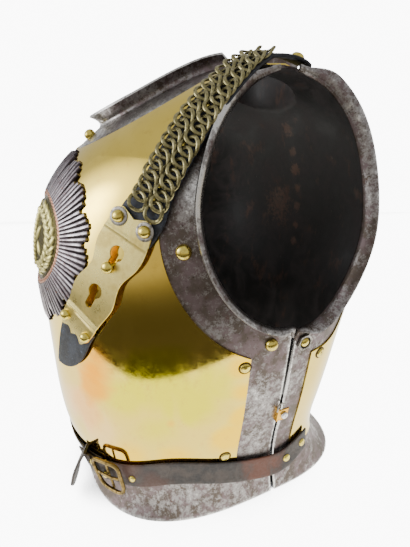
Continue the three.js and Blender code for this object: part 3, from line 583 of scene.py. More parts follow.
def plate_surfaces(plate):
    """The whole grid of one plate with its lip and collar, its normals, and masks of the squares that the
    steel and the brass cover."""
    places = plate_grid(plate)
    surface = torso(places[..., 0], places[..., 1])
    top = surface.shape[1] - 1
    start = LIP_CELLS + BAND_CELLS + TAB_CELLS
    extra = BORDER_CELLS + COLLAR_CELLS
    half = np.concatenate([lip_columns(plate, places, surface), surface])
    half = np.concatenate([half, np.repeat(half[:, -1:], extra, axis=1)], axis=1)
    half[start:, top + 1:] = collar_rows(plate, places[start - LIP_CELLS:, -1])
    grid = np.concatenate([half, half[-2::-1] * (-1, 1, 1)])
    columns = grid.shape[0] - 1
    column = np.minimum(np.arange(columns), columns - 1 - np.arange(columns))[:, None]
    row = np.arange(grid.shape[1] - 1)[None]
    in_lip = (column < LIP_CELLS) & (row >= SKIRT_CELLS + SIDE_CELLS - 2) & (row < top)
    steel = in_lip | ((column >= LIP_CELLS) & (row < top)) | (column >= start)
    brass = (column >= LIP_CELLS + BAND_CELLS) & (row >= SKIRT_CELLS) & (row < top)
    return grid, grid_normals(grid, steel, plate["sign"]), steel, brass


def wear_and_crease_shade(grid):
    """How bright each point of a plate's grid is worn: 1 on its edges and less on the turned edge. The -1 in
    the crease at the foot of the turned edge is painted shade, not wear."""
    wear = np.zeros(grid.shape[:2])
    wear[:, 0] = 1
    wear[:, -1] = 0.8
    side = SKIRT_CELLS + SIDE_CELLS
    for edge, sign in ((LIP_CELLS, 1), (grid.shape[0] - 1 - LIP_CELLS, -1)):
        wear[edge, :side] = 1
        # Painted shade: -1 marks the crease at the foot of the turned edge, which the steel's material
        # darkens.
        wear[edge, side:] = -1
        for step in range(1, LIP_CELLS + 1):
            wear[edge - sign * step, side:] = 0.35 + 0.5 * (step == LIP_CELLS)
    return wear


def add_layer(thing, name, values):
    """A number for each point of a piece, which its material reads by name."""
    layer = thing.data.attributes.new(name, "FLOAT", "POINT")
    layer.data.foreach_set("value", np.asarray(values, np.float32).ravel())


def build_plate(plate_name):
    """One steel plate, blackened inside short of its turned edge, and its brass facing. The breastplate's
    collar is bare steel on both faces."""
    plate = PLATES[plate_name]
    grid, normals, steel, brass = plate_surfaces(plate)
    points, faces, index, kinds = shell(grid, offset(grid, normals, -sizes().steel_thick / MM), steel)
    column, row = index // grid.shape[1], index % grid.shape[1]
    deep = np.minimum(column, grid.shape[0] - 1 - column) >= LIP_CELLS
    if plate_name == "breast":
        deep &= row < grid.shape[1] - COLLAR_CELLS
    inside = (kinds == 1) & deep[faces].all(axis=1)
    materials = [material_iron(), material_inside()]
    thing = make_object(plate_name + " plate", points, faces.tolist(), materials, inside)
    # The 'worn' layer holds the rubbed edges and, below zero, the painted shade of the crease.
    add_layer(thing, "worn", wear_and_crease_shade(grid).ravel()[index])
    finish_piece(thing, [plate_name + "plate"])
    outer = offset(grid, normals, BRASS_TOP)
    points, faces, _, _ = shell(outer, offset(grid, normals, BRASS_LIFT), brass)
    facing = make_object(plate_name + " facing", points, faces.tolist(), [material_brass()])
    soft = facing.modifiers.new("Edge", "BEVEL")
    soft.width = FACING_BEVEL * MM
    soft.segments = 2
    soft.limit_method = "ANGLE"
    soft.angle_limit = math.radians(60)
    finish_piece(facing, [plate_name + "_facing"])


# ---------------------------------------------------------------- shoulder straps

# Routes give the side (+1 front, -1 back), x, height of the section crossed, and lift over the steel.
STRAP_ROUTE = (
    (-1, 124.5, 450.5, 4),
    (-1, 124.5, 452.5, 5),
    (1, 124.5, 452, 6),
    (1, 126, 443, 5.5),
    (1, 128.5, 424, 5),
    (1, 130, 402, 4.5),
    (1, 130, 378, 4),
    (1, 126.5, 353, 3),
    (1, 121, 330, 2.6),
    (1, 112, 306, 2.6),
)
PLATE_ROUTE = (
    (1, 117, 328, 6.8),
    (1, 110.8, 304, 6.8),
    (1, 102.5, 278, 6.4),
    (1, 92.3, 253, 6.4),
    (1, 81, 229, 6.8),
    (1, 66, 206, 6.8),
)
TONGUE_ROUTE = (
    (1, 75, 218, 2.6),
    (1, 66, 202, 2.6),
    (1, 58, 182, 2.6),
    (1, 51.5, 163, 2.6),
)
STRAP_STEPS = 18
PLATE_STEPS = 20
TONGUE_STEPS = 8
STRAP_EDGE_STEPS = 7
STRAP_FACE_STEPS = 7
LEATHER_THICK = 3.0
STRAP_HALF = 15.5
STRAP_END_HALF = 20.5
TONGUE_HALF = 19.5
TONGUE_TIP = 15
TONGUE_PAST = 4
CHAIN_FIRST, CHAIN_LAST = 4, 16
CHAIN_SPACING = 16.4
LINK_PITCH = 9.4
LINK_LONG = 15.2
LINK_WIDE = 14.6
LINK_TWIST = 1.75
LINK_STEPS = 30
WIRE = 1.14
PLATE_OUTLINE = (
    (0, 16.5), (0.06, 20), (0.14, 22), (0.3, 22.5), (0.44, 17.5), (0.6, 22.5), (0.76, 20), (0.9, 19.5),
    (1, 17),
)
PLATE_THICK = 1.5
KEYHOLE_ROUND = 7
KEYHOLE_SLOT = 3.8
KEYHOLE_LENGTH = 14.4
# The plate's keyholes and rivets stand at steps of its route; its rivets at so far to the side.
HOLE_STEPS = (6, 12)
EAR_STEP = 2
TAIL_STEP = 18
EAR_SPREAD = 13.4
TAIL_SPREAD = 14.6
FOLD_FAR = 12.5
RIDGE_FAR = 15
# The scallops of the plate's tail: share of the half width, and depth cut away.
SCALLOPS = (
    (0, 0), (0.15, 2.6), (0.35, 4.4), (0.55, 3), (0.75, 0.6), (0.9, 1.6), (1, 5.5),
)
END_FADE = 14
NOTCH_DEEP = 6
EAR_ROUND = 4
CREASE_HIGH, CREASE_WIDE = 0.9, 1.1
RIDGE_HIGH, RIDGE_WIDE = 1.5, 2.1
PLATE_BEVEL = 0.45


def band_path(route, steps):
    """A smooth path over the body: frames(distance) gives point, forward, across and normal, for whole
    arrays, and marks holds the distance of each of the route's steps."""
    rows = np.array(route, float)
    table = spline(np.arange(len(rows)), rows[:, 1:])
    u = np.linspace(0, len(rows) - 1, steps + 1)
    change = np.nonzero(np.diff(rows[:, 0]))[0]
    sign = np.where(u < change[0] + 0.5, -1, 1) if len(change) else np.ones(len(u))
    x, z, lift = table(u).T
    at = search(ALONG["z"], z, 0, GIRTH_TOP)
    points, normals = on_body(np.stack([turn_at_x(sign, x, at), at], -1), lift[:, None])
    marks = np.concatenate([[0], np.cumsum(np.linalg.norm(np.diff(points, axis=0), axis=1))])
    curve = spline(marks, points)
    facing = spline(marks, normals)

    def frames(distance):
        distance = np.asarray(distance, float)
        forward = unit(curve(distance + 0.5) - curve(distance - 0.5))
        across = unit(np.cross(facing(distance), forward))
        return curve(distance), forward, across, np.cross(forward, across)

    return frames, marks


def on_band(frames, distance, aside, lift):
    """A point and direction on a band, at a distance along it and to one side."""
    point, _, across, normal = frames(distance)
    return point + across * aside + normal * lift, normal


def strap_section(left, right, thick):
    """Rings of (aside, height) for a leather band, with rounded edges. left and right are half widths."""
    radius = thick * 0.42
    angle = np.linspace(QUARTER, -QUARTER, STRAP_EDGE_STEPS)
    bow = np.stack([radius * np.cos(angle), thick / 2 + (thick / 2) * np.sin(angle)], -1)
    part = np.linspace(0, 1, STRAP_FACE_STEPS)[1:-1]
    rings = []
    for a, b in zip(left, right):
        end = bow + (b - radius, 0)
        start = bow[::-1] * (-1, 1) - (a - radius, 0)
        under = np.stack([lerp(end[-1, 0], start[0, 0], part), np.zeros(len(part))], -1)
        over = np.stack([lerp(start[-1, 0], end[0, 0], part), np.full(len(part), float(thick))], -1)
        rings.append(np.concatenate([end, under, start, over]))
    return np.array(rings)


def leather_band(frames, distance, left, right):
    """A leather band along a path: each ring is point + aside*across + height*normal."""
    section = strap_section(left, right, LEATHER_THICK)
    point, _, across, normal = frames(distance)
    return loft(point[:, None] + section[..., :1] * across[:, None] + section[..., 1:] * normal[:, None])


def chain_row(frames, first, last, aside):
    """A row of curb links. Each link follows along = L/2*cos(t), across = W/2*sin(t) and height = -H*sin(2t),
    so that its ends pass through its neighbours, and is swept with a flat oval section, wider than it is
    high."""
    wire = sizes().chain_wire / MM
    count = round((last - first) / LINK_PITCH)
    pitch = (last - first) / count
    t = angles(LINK_STEPS)
    curve = np.stack([LINK_LONG / 2 * np.cos(t), LINK_WIDE / 2 * np.sin(t), -LINK_TWIST * np.sin(2 * t)], -1)
    tangent = unit(np.roll(curve, -1, 0) - np.roll(curve, 1, 0))
    radial = unit(np.cross(tangent, (0, 0, 1)))
    upward = np.cross(radial, tangent)
    angle = angles(10)
    size = wire * (1 + 0.16 * np.cos(2 * angle))
    local = (curve[:, None] + (1.25 * size * np.cos(angle))[None, :, None] * radial[:, None]
             + (size * np.sin(angle))[None, :, None] * upward[:, None])
    parts = []
    for k in range(count):
        sway = 0.35 * math.sin(2.3 * k + aside)
        tilt = 0.05 * math.sin(1.7 * k + 0.6 * aside)
        centre = first + (k + 0.5) * pitch
        point, _, across, normal = frames(centre + local[..., 0])
        lift = LEATHER_THICK + GAP + LINK_TWIST + wire + local[..., 2:] + tilt * local[..., 1:2]
        rings = point + across * (aside + sway + local[..., 1:2]) + normal * lift
        parts.append(loft(rings, closed=True))
    return merge(parts)


def keyhole_half(s, centre):
    """Half width of a keyhole at distances s: a round of radius R, then a slot with a round end."""
    d = s - centre
    meet = math.sqrt(KEYHOLE_ROUND ** 2 - KEYHOLE_SLOT ** 2)
    big = np.sqrt(np.maximum(KEYHOLE_ROUND ** 2 - d ** 2, 0))
    end = np.sqrt(np.maximum(KEYHOLE_SLOT ** 2 - np.maximum(d - KEYHOLE_LENGTH, 0) ** 2, 0))
    half = np.where(d < meet, big, end)
    return np.where((d < -KEYHOLE_ROUND) | (d > KEYHOLE_LENGTH + KEYHOLE_SLOT), 0, half)


def end_plate(frames, length, holes, fold, ridge):
    """The waisted brass plate: two halves from the keyholes' edge to the outline. Its height carries a
    crease at fold and a rounded ridge at ridge, and its ends are cut to a notch and to scallops."""
    outline = spline([row[0] for row in PLATE_OUTLINE], [row[1] for row in PLATE_OUTLINE])
    scallop = spline([row[0] for row in SCALLOPS], [row[1] for row in SCALLOPS])
    s = [np.linspace(0, length, 96)]
    quarter = np.linspace(0, QUARTER, 9)
    for centre in holes:
        s.append(centre - KEYHOLE_ROUND * np.cos(quarter))
        s.append(centre + KEYHOLE_LENGTH + KEYHOLE_SLOT * np.sin(quarter))
        s.append(centre + np.linspace(-3, KEYHOLE_ROUND, 8))
    s = np.unique(np.round(np.concatenate(s), 3))
    s = s[np.concatenate([[True], np.diff(s) > 0.05])]
    half = outline(s / length)
    hole = sum(keyhole_half(s, centre) for centre in holes)
    part = np.linspace(0, 1, 12)
    part = np.concatenate([[0], part[1:-1], [0.985, 1]])
    parts = []
    for side in (-1, 1):
        v = lerp(hole[:, None], half[:, None], part)
        q = np.clip(v / half[:, None], 0, 1)
        top = np.clip(1 - s / END_FADE, 0, 1)[:, None] ** 2
        tail = np.clip((s - length) / END_FADE + 1, 0, 1)[:, None] ** 2
        notch = NOTCH_DEEP * (1 - q) ** 1.3 + EAR_ROUND * smoothstep((q - 0.8) / 0.2) ** 2
        along = s[:, None] + top * notch - tail * scallop(q)
        crease = CREASE_HIGH * np.exp(-((s - fold) / CREASE_WIDE) ** 2)
        height = crease + RIDGE_HIGH * np.exp(-((s - ridge) / RIDGE_WIDE) ** 4)
        height = height[:, None] * (1 - 0.25 * q ** 6)
        round_off = PLATE_BEVEL * (part[None] > 0.99)
        point, _, across, normal = frames(along)
        spot = point + across * (side * v)[..., None]
        outer = spot + normal * (height + PLATE_THICK - round_off)[..., None]
        points, faces, _, _ = shell(outer, spot + normal * height[..., None])
        parts.append((points, faces.tolist()))
    return merge(parts)


# Turned profiles, as radius and height: the washers, the stud in the keyhole, the slotted rivets, the
# rings under them, the collar's stud and the side clips' screws.
WASHER = ((0, 0), (7.8, 0), (8.2, 0.35), (8.1, 0.75), (7.5, 1.1), (4.6, 1.012), (4, 0.66), (0, 0.55))
STRAP_STUD = ((0, 0), (2.6, 0), (2.6, 7.6), (4.4, 8.2), (5.3, 9.6), (5.4, 10.8), (4.9, 12.2), (3.6, 13.3),
              (1.9, 13.9), (0, 14.1))
SLOTTED = ((0, 0), (4.8, 0), (5, 0.6), (4.6, 1.3), (3.6, 1.9), (2.4, 1.7), (1.4, 2.3), (0, 2.5))
RING = ((0, 0), (6.4, 0), (6.5, 0.3), (5.4, 0.5), (0, 0.4))
COLLAR_STUD = ((0, -2), (4.2, -1.4), (5.4, 0.6), (5.7, 2.6), (5.2, 4.6), (3.8, 6.2), (1.8, 7), (0, 7.2))
SCREW = ((0, 0), (4, 0), (4.1, 1.4), (3.4, 2.3), (0.7, 2.7), (0.5, 2.1), (0, 2.0))
WASHER_LIFT = 0.6
STRAP_PINS = (12, 25, 60, 96)
STRAP_RIVET_Y = 22
STUD_SINK = 5.5


def build_straps():
    """The straps with their chains, pins and back rivets. A strap is narrower at its root and widens to a
    blunt front end."""
    frames, marks = band_path(STRAP_ROUTE, STRAP_STEPS)
    distance = np.linspace(0, marks[-1], 110)
    part = distance / marks[-1]
    half = lerp(STRAP_HALF, STRAP_END_HALF, smoothstep((part - 0.8) / 0.12))
    half = half - 3.5 * (np.clip(part - 0.97, 0, 1) / 0.03) ** 2
    half = half * np.sqrt(1 - (1 - np.clip(part / 0.05, 0, 1)) ** 2 * 0.6)
    band = leather_band(frames, distance, half, half)
    add_pair("shoulder strap", band, "shoulder_strap", material_strap())
    first, last = marks[CHAIN_FIRST], marks[CHAIN_LAST]
    for name, aside in (("inner", -CHAIN_SPACING / 2), ("outer", CHAIN_SPACING / 2)):
        row = chain_row(frames, first, last, aside)
        add_pair(f"chain {name}", row, f"chain_{name}", material_chain(), smooth=60)
    heads = [lathe(dome(3.4, 2.6), *on_band(frames, last - far, 0.6, LEATHER_THICK)) for far in STRAP_PINS]
    add_pair("strap pins", merge(heads), None, material_rivet())
    behind = int(np.argmin(np.abs(frames(marks)[0][:, 1] - STRAP_RIVET_Y)))
    spot, normal = on_band(frames, marks[behind], 0, LEATHER_THICK)
    head = lathe(dome(6.3, 5), spot, normal)
    add_pair("back strap rivet", head, "rivet_strap_back", material_rivet())


def build_end_plates():
    """The brass end plates, their rivets and washers, and the studs in their upper keyholes."""
    frames, marks = band_path(PLATE_ROUTE, PLATE_STEPS)
    length = marks[-1]
    holes = (marks[HOLE_STEPS[0]] + 1, marks[HOLE_STEPS[1]])
    ears, tail = marks[EAR_STEP] - 2, marks[TAIL_STEP] + 3
    part = end_plate(frames, length, holes, ears + FOLD_FAR, tail - RIDGE_FAR)
    add_pair("end plate", part, "end_plate", material_plate())
    rows = (("ear", ears, EAR_SPREAD), ("tail", tail, TAIL_SPREAD))
    for name, at, spread in rows:
        for side, aside in (("inner", -spread), ("outer", spread)):
            spot, normal = on_band(frames, at, aside, PLATE_THICK)
            if name == "ear":
                flat = lathe(WASHER, spot, normal)
                add_pair(f"washer {name} {side}", flat, None, material_washer())
                spot = spot + normal * WASHER_LIFT
            head = lathe(dome(5.4, 4.9), spot, normal)
            add_pair(f"rivet {name} {side}", head, f"rivet_{name}_{side}", material_rivet())
    spot, normal = on_band(frames, holes[0] + KEYHOLE_LENGTH, 0, -STUD_SINK)
    add_pair("strap stud", lathe(STRAP_STUD, spot, normal), "strap_stud", material_rivet())


def build_tongues():
    """The leather tongues: their outer edge curves in to a blunt point near the inner edge."""
    frames, marks = band_path(TONGUE_ROUTE, TONGUE_STEPS)
    length = marks[-1] + TONGUE_PAST
    distance = np.linspace(0, length, 50)
    part = distance / length
    inner = TONGUE_HALF - 1.5 * part - 3 * np.clip((part - 0.95) / 0.05, 0, 1) ** 2
    curve = 1 - np.sqrt(1 - np.clip((part - 0.3) / 0.7, 0, 1) ** 2.1)
    outer = TONGUE_HALF - (TONGUE_HALF + TONGUE_TIP) * curve
    band = leather_band(frames, distance, inner, outer)
    add_pair("strap tongue", band, "strap_tongue", material_strap())


# ---------------------------------------------------------------- star badge

STAR = {"z": 287, "radius": 87, "badge": 48, "wide": 1.21, "lean": 0.93, "grow": 0.985, "under": 0.25}
BADGE_DEPTH = 190
MEDALLION_RADIUS = 46
MEDALLION_STEPS = 280
ROPE_AT = 43.4
ROPE_RADIUS = 2.5
RAYS = 96
TOOTH = (0.905, 0.95, 0.985, 1.0, 0.975, 0.94)


def badge_points(distance, angle, lift):
    """Points over the breast for spots of the badge: a distance and direction from its middle, and a
    lift. The turn and height station of each are found by Newton's steps from its x and z."""
    beyond = np.clip((distance - STAR["badge"]) / (STAR["radius"] - STAR["badge"]), 0, 1)
    x = STAR["lean"] * lerp(STAR["wide"], 1, beyond) * distance * np.cos(angle)
    z = STAR["z"] + STAR["grow"] * distance * np.sin(angle)
    turn = QUARTER - x / BADGE_DEPTH
    at = search(ALONG["z"], z, 0, GIRTH_TOP)
    for _ in range(9):
        here = torso(turn, at)
        by_turn = (torso(turn + 1e-4, at) - here) / 1e-4
        by_at = (torso(turn, at + 1e-3) - here) / 1e-3
        dx, dz = x - here[..., 0], z - here[..., 2]
        det = by_turn[..., 0] * by_at[..., 2] - by_at[..., 0] * by_turn[..., 2]
        turn = turn + (dx * by_at[..., 2] - dz * by_at[..., 0]) / det
        at = at + (by_turn[..., 0] * dz - by_turn[..., 2] * dx) / det
    return torso(turn, at) + torso_normal(turn, at) * (BRASS_TOP + lift)[..., None]


def build_rays():
    """The rays: lift falls from the middle to the edge, and each ray is a ridge 1 - |p|^1.6 across its
    width p. The edge steps out from ray to ray and has a rounded bite in every tooth."""
    p = np.array([-0.96, -0.7, -0.4, -0.1, 0.2, 0.5, 0.75, 0.96])
    ray = np.repeat(np.arange(RAYS), len(p))
    p = np.tile(p, RAYS)
    angle = 2 * math.pi * (ray + 0.5 + p / 2) / RAYS
    reach = np.array(TOOTH)[ray % len(TOOTH)]
    reach = reach - 0.035 * (ray % len(TOOTH) == 0) * np.sqrt(1 - p ** 2) + 0.006 * np.sin(2.7 * ray)
    part = np.linspace(0, 1, 20)
    distance = lerp(STAR["badge"] - 1, STAR["radius"] * reach[:, None], part)
    ridge = (1 - np.abs(p) ** 1.6)[:, None] * (0.75 + 0.45 * (ray % 3 == 1))[:, None]
    fine = 0.16 * np.cos(5 * math.pi * p)[:, None]
    lift = 4.4 - 2.6 * part ** 1.3 + (ridge + fine) * (0.35 + 0.85 * part) - 0.5 * part ** 14
    angle = angle[:, None] + 0 * distance
    outer = badge_points(distance, angle, lift)
    inner = badge_points(distance, angle, np.full(distance.shape, float(STAR["under"])))
    outer = np.concatenate([outer, outer[:1]])
    inner = np.concatenate([inner, inner[:1]])
    points, faces, index, _ = shell(outer, inner)
    thing = make_object("star rays", points, faces.tolist(), [material_silver()], smooth=50)
    crest = np.clip(1.15 - np.abs(p) * 1.2, 0, 1)[:, None] * (0.75 + 0.25 * np.cos(3 * math.pi * p))[:, None]
    crest = np.tile(crest, (1, distance.shape[1]))
    add_layer(thing, "raised", np.concatenate([crest, crest[:1]]).ravel()[index])
    finish_piece(thing, ["star_rays"])


# The leaves beside the staff: middle x and y, lean, length, width and height.
BOWS = (
    (8, -24, 0.5, 8, 3, 2.9),
    (9.5, 6, 1.1, 10, 3.6, 2.4),
    (12, -8, 1.9, 9, 3.2, 2.3),
)


def leaf(x, y, middle_x, middle_y, lean, long, wide, high):
    """A leaf standing on the ground: a long oval bump with a groove down its middle."""
    a = (x - middle_x) * math.cos(lean) + (y - middle_y) * math.sin(lean)
    b = (y - middle_y) * math.cos(lean) - (x - middle_x) * math.sin(lean)
    bump = high * (1 - (a / long) ** 2 - (b / (wide * (1 - 0.3 * a / long))) ** 2)
    return bump - 0.45 * np.exp(-(b / 0.55) ** 2)


def medallion_relief(x, y):
    """Height of the struck relief: a rope rim, a wreath of leaves, a staff with a finial, and a bow."""
    r = np.hypot(x, y)
    angle = np.arctan2(y, x)
    ground = 2.2 + 2.2 * (1 - (r / MEDALLION_RADIUS) ** 2)
    relief = 0.22 * np.sin(1.3 * x + 0.8 * y) * np.sin(1.1 * y - 0.6 * x)
    for side in (-1, 1):
        for k in range(11):
            around = math.radians(-68 + 14 * k)
            for reach, swing in ((34, 0.42), (26.5, -0.5)):
                middle_x = side * reach * math.cos(around)
                middle_y = reach * math.sin(around)
                lean = math.atan2(math.cos(around), -side * math.sin(around)) - side * swing
                relief = np.maximum(relief, leaf(x, y, middle_x, middle_y, lean, 6.6, 3.1, 2.6))
            berry_x = side * 30.5 * math.cos(around + 0.12)
            berry_y = 30.5 * math.sin(around + 0.12)
            berry = (x - berry_x) ** 2 + (y - berry_y) ** 2
            relief = np.maximum(relief, 2.5 * (1 - berry / 2.6))
    taper = 2.1 + 0.8 * smoothstep((y + 24) / 50)
    staff = np.where(np.abs(y) < 27, 3.6 * (1 - (x / taper) ** 2), 0) + 0.3 * np.cos(y * 1.5)
    relief = np.maximum(relief, np.where(np.abs(x) < taper, staff, -1))
    relief = np.maximum(relief, 4.2 * (1 - (x ** 2 + (y - 27) ** 2) / 17))
    for side in (-1, 1):
        for middle_x, middle_y, lean, long, wide, high in BOWS:
            relief = np.maximum(relief, leaf(x, y, side * middle_x, middle_y, side * lean, long, wide, high))
    inside = smoothstep((42 - r) / 2)
    beside = r - ROPE_AT
    rope = np.sqrt(np.maximum(ROPE_RADIUS ** 2 - beside ** 2, 0)) + 0.4 * np.sin(66 * angle + 1.7 * beside)
    height = ground + np.maximum(relief, -0.3) * inside + np.where(r > 41, rope, 0)
    return height, np.clip(relief / 2.6, 0, 1) * inside + np.where(r > 41, 0.6, 0), r > 40.8


def build_medallion():
    """The medallion: its relief on a round grid, closed by a wall and a flat back."""
    angle = angles(MEDALLION_STEPS)
    distance = np.concatenate([np.linspace(0.6, 40.5, 66), np.linspace(41, MEDALLION_RADIUS, 14)])
    distance = distance[None] + 0 * angle[:, None]
    angle = angle[:, None] + 0 * distance
    height, raised, rope = medallion_relief(distance * np.cos(angle), distance * np.sin(angle))
    reach = distance * STAR["badge"] / distance.max()
    outer = badge_points(reach, angle, 0.85 * height)
    inner = badge_points(reach[:, ::4], angle[:, ::4], np.full(reach[:, ::4].shape, 0.25))
    count, rows = distance.shape
    index = np.arange(count * rows).reshape(count, rows)
    after = np.roll(index, -1, 0)
    top = np.stack([index[:, :-1], index[:, 1:], after[:, 1:], after[:, :-1]], -1).reshape(-1, 4)
    rim = inner[:, -1]
    wall = np.stack([index[:, -1], np.arange(count) + index.size, np.roll(np.arange(count), -1) + index.size,
                     after[:, -1]], -1)
    points = np.concatenate([outer.reshape(-1, 3), rim, outer[:, 0].mean(0)[None], rim.mean(0)[None]])
    middle, under = len(points) - 2, len(points) - 1
    around = np.arange(count) + index.size
    faces = np.concatenate([top, wall]).tolist()
    faces += [[middle, a, b] for a, b in zip(index[:, 0].tolist(), after[:, 0].tolist())]
    faces += [[under, b, a] for a, b in zip(around.tolist(), np.roll(around, -1).tolist())]
    thing = make_object("star medallion", points, faces, [material_struck()], smooth=50)
    for name, values in (("raised", raised), ("rope", rope)):
        whole = np.zeros(len(points))
        whole[:index.size] = values.ravel()
        add_layer(thing, name, whole)
    finish_piece(thing, ["star_medallion"])


# ---------------------------------------------------------------- rivets, studs and side clips

def spot_by_side(y, z, lift):
    """The point and normal that the side view shows at this y and z, in front or behind by y's sign."""
    return on_body(place_by_side(1 if y <= 0 else -1, y, z), lift)


def nut(point, axis, radius, high, hole):
    """A six-sided collar with a round hole, standing on a point."""
    axis = unit(np.asarray(axis, float))
    around, angle = circle(axis, (0.1, 0.3, 0.95), 36)
    turn = (angle + math.pi / 6) % (math.pi / 3) - math.pi / 6
    hexagon = (radius * math.cos(math.pi / 6) / np.cos(turn))[:, None] * around
    soft = high - 0.3
    rows = ((hexagon, 0), (hexagon, soft), (hexagon * 0.96, high), (hole * 1.06 * around, high),
            (hole * around, soft), (hole * around, 0))
    return loft(np.array([point + ring + axis * level for ring, level in rows]), closed=True)


# Rivets of the plates, by y and z in the side view: domed ones on the steel and slotted ones on the brass.
DOMED_RIVETS = (
    ("breast hole", -95, 289, GAP, dome(7, 5.4)),
    ("breast side", -20.5, 199, GAP, dome(6.4, 5)),
    ("back hole", 18.5, 193, 0.2, dome(5, 3.4)),
)
SLOTTED_RIVETS = (
    ("breast strip", -44, 178),
    ("back strip", 44.6, 173),
    ("breast waist", -52, 66),
)
# The six-sided nut's radius, height and hole.
BACK_NUT = (9.4, 2.2, 6.2)
COLLAR_STUD_DROP = 7


def build_rivets():
    """The rivets of the plates with what lies under them, and the stud below the collar."""
    for name, y, z, lift, profile in DOMED_RIVETS:
        head = lathe(profile, *spot_by_side(y, z, lift))
        add_pair(f"rivet {name}", head, "rivet_" + name.replace(" ", "_"), material_rivet())
    spot, normal = spot_by_side(*DOMED_RIVETS[-1][1:4])
    add_pair("nut back hole", nut(spot, normal, *BACK_NUT), None, material_washer())
    for name, y, z in SLOTTED_RIVETS:
        spot, normal = spot_by_side(y, z, BRASS_TOP)
        node = "rivet_" + name.replace(" ", "_")
        add_pair(f"rivet {name}", lathe(SLOTTED, spot, normal), node, material_rivet())
        add_pair(f"ring {name}", lathe(RING, spot, normal), None, material_tarnish())
    top = neck_edge(PLATES["breast"], "neck")[-1]
    foot, axis = on_body(place_by_front(1, 0.0, torso(*top)[2] - COLLAR_STUD_DROP))
    add_piece("collar stud", lathe(COLLAR_STUD, foot, axis), ["collar_stud"], material_rivet())


def box_part(centre, axes, sizes, soften=0.25):
    """A block with slightly rounded edges; axes are its three directions."""
    rings = []
    outline = np.array([(-1, -1), (1, -1), (1, 1), (-1, 1)], float)
    half = np.array(sizes, float) / 2
    for level, shrink in ((-1, soften), (-1 + soften / half[2], 0), (1 - soften / half[2], 0), (1, soften)):
        ring = []
        for u, v in outline:
            for du, dv in ((1, 0), (0, 1)) if u * v > 0 else ((0, 1), (1, 0)):
                a = u * (half[0] - shrink - soften * du)
                b = v * (half[1] - shrink - soften * dv)
                ring.append(centre + axes[0] * a + axes[1] * b + axes[2] * level * half[2])
        rings.append(ring)
    return loft(np.array(rings))


CLIP_Y = 3.0
CLIP_Z = 112.0
CLIP_LEAN = math.atan2(14, 70)
CLIP_PLATE = (13.5, 15, 1.5)
CLIP_WING = (1.5, 17.5, 5.6)
HOOK_WIRE = 1.05


def build_clips():
    """The bent brass bracket over the side gap, its screw, and the steel hook above it."""
    point, _ = spot_by_side(CLIP_Y, CLIP_Z, 0.0)
    out = np.array((math.cos(CLIP_LEAN), 0, -math.sin(CLIP_LEAN)))
    up = np.array((math.sin(CLIP_LEAN), 0, math.cos(CLIP_LEAN)))
    side = np.array((0.0, 1, 0))
    base = point + (2.4, 2, 0)
    plate = box_part(base + side * 1.5 - up * 4 + out * 1, (side, up, out), CLIP_PLATE)
    wing = box_part(base - side * 4.6 - up * 3.4 - out * 1.2, (side, up, out), CLIP_WING)
    add_pair("side clip", merge([plate, wing]), "side_clip", material_bright_brass())
    spot = base + side * 3 - up * 4.5 + out * 1.9
    add_pair("clip screw", lathe(SCREW, spot, out), "clip_screw", material_bright_steel())
    t = np.linspace(0, 1, 24)
    route = (base + (-6.6 + 7.8 * t ** 2)[:, None] * side + (3 + 9.5 * np.sin(2.4 * t))[:, None] * up
             + (1.6 - 1.2 * t)[:, None] * out)
    tangent = unit(np.gradient(route, axis=0))
    first = unit(np.cross(tangent, out))
    second = np.cross(tangent, first)
    angle = angles(10)[:, None]
    rings = route[:, None] + HOOK_WIRE * (np.cos(angle) * first[:, None] + np.sin(angle) * second[:, None])
    add_pair("side hook", loft(rings), None, material_washer())


# ---------------------------------------------------------------- waist belt

BELT_ROUTE = (
    (-150, 45),
    (-144, 46),
    (-107, 54.5),
    (-63, 49.5),
    (-10, 38.5),
    (16, 36.5),
    (46, 47),
    (56, 50),
)
BELT_WIDE = 27
BELT_MIDDLE = 48
BELT_THICK = 2.8
BELT_LIFT = 2.4
BELT_REAR_Y = 54.0
BELT_END_X = 40
BELT_UNDER_X = -70
BUCKLE_X = 78
BUCKLE_HALF_WIDE = 12.5
BUCKLE_HALF_TALL = 18.5
BUCKLE_WIRE = 2.1
PRONG_WIRE = 1.5
BAR_WIRE = 1.4
KEEPER_FAR = 22
KEEPER_TURN = 0.036
KEEPER_TALL = 31
KEEPER_THICK = 1.6
BELT_RIVETS = (("front", 23.5), ("rear", 47.0))
# Studs near the buckle: x, height above the belt's middle, and lift over the belt.
BELT_STUDS = (
    (62, 8, 4.6),
    (73, -4, 3.8),
    (96, -3, 0),
)
LOOSE_ROUTE = (
    (54, -175, 64),
    (50, -180, 53),
    (46, -187, 36),
    (42, -192, 12),
)
LOOSE_ACROSS = (0.894, -0.449, 0)
BELT_AT = float(search(ALONG["z"], BELT_MIDDLE, 0, GIRTH_TOP))
BELT_Z = spline([row[0] for row in BELT_ROUTE], [row[1] for row in BELT_ROUTE])


def belt_turn(x):
    """The turn on the front where the belt's middle has this x, also past the middle."""
    turn = float(turn_at_x(1, abs(x), BELT_AT))
    return turn if x >= 0 else math.pi - turn


def belt_spot(turn, above, lift):
    """A point and level direction on the belt, so far above its middle line. The line's height follows
    the belt's route by y; lift is the clearance over the plates."""
    turn, above = np.broadcast_arrays(np.asarray(turn, float), np.asarray(above, float))
    y = np.clip(torso(turn, np.full(turn.shape, BELT_AT))[..., 1], BELT_ROUTE[0][0], BELT_ROUTE[-1][0])
    at = search(ALONG["z"], BELT_Z(y) + above, 0, GIRTH_TOP)
    points, normals = on_body(np.stack([turn, at], -1))
    normals = unit(normals * (1, 1, 0))
    return points + normals * np.asarray(lift)[..., None], normals


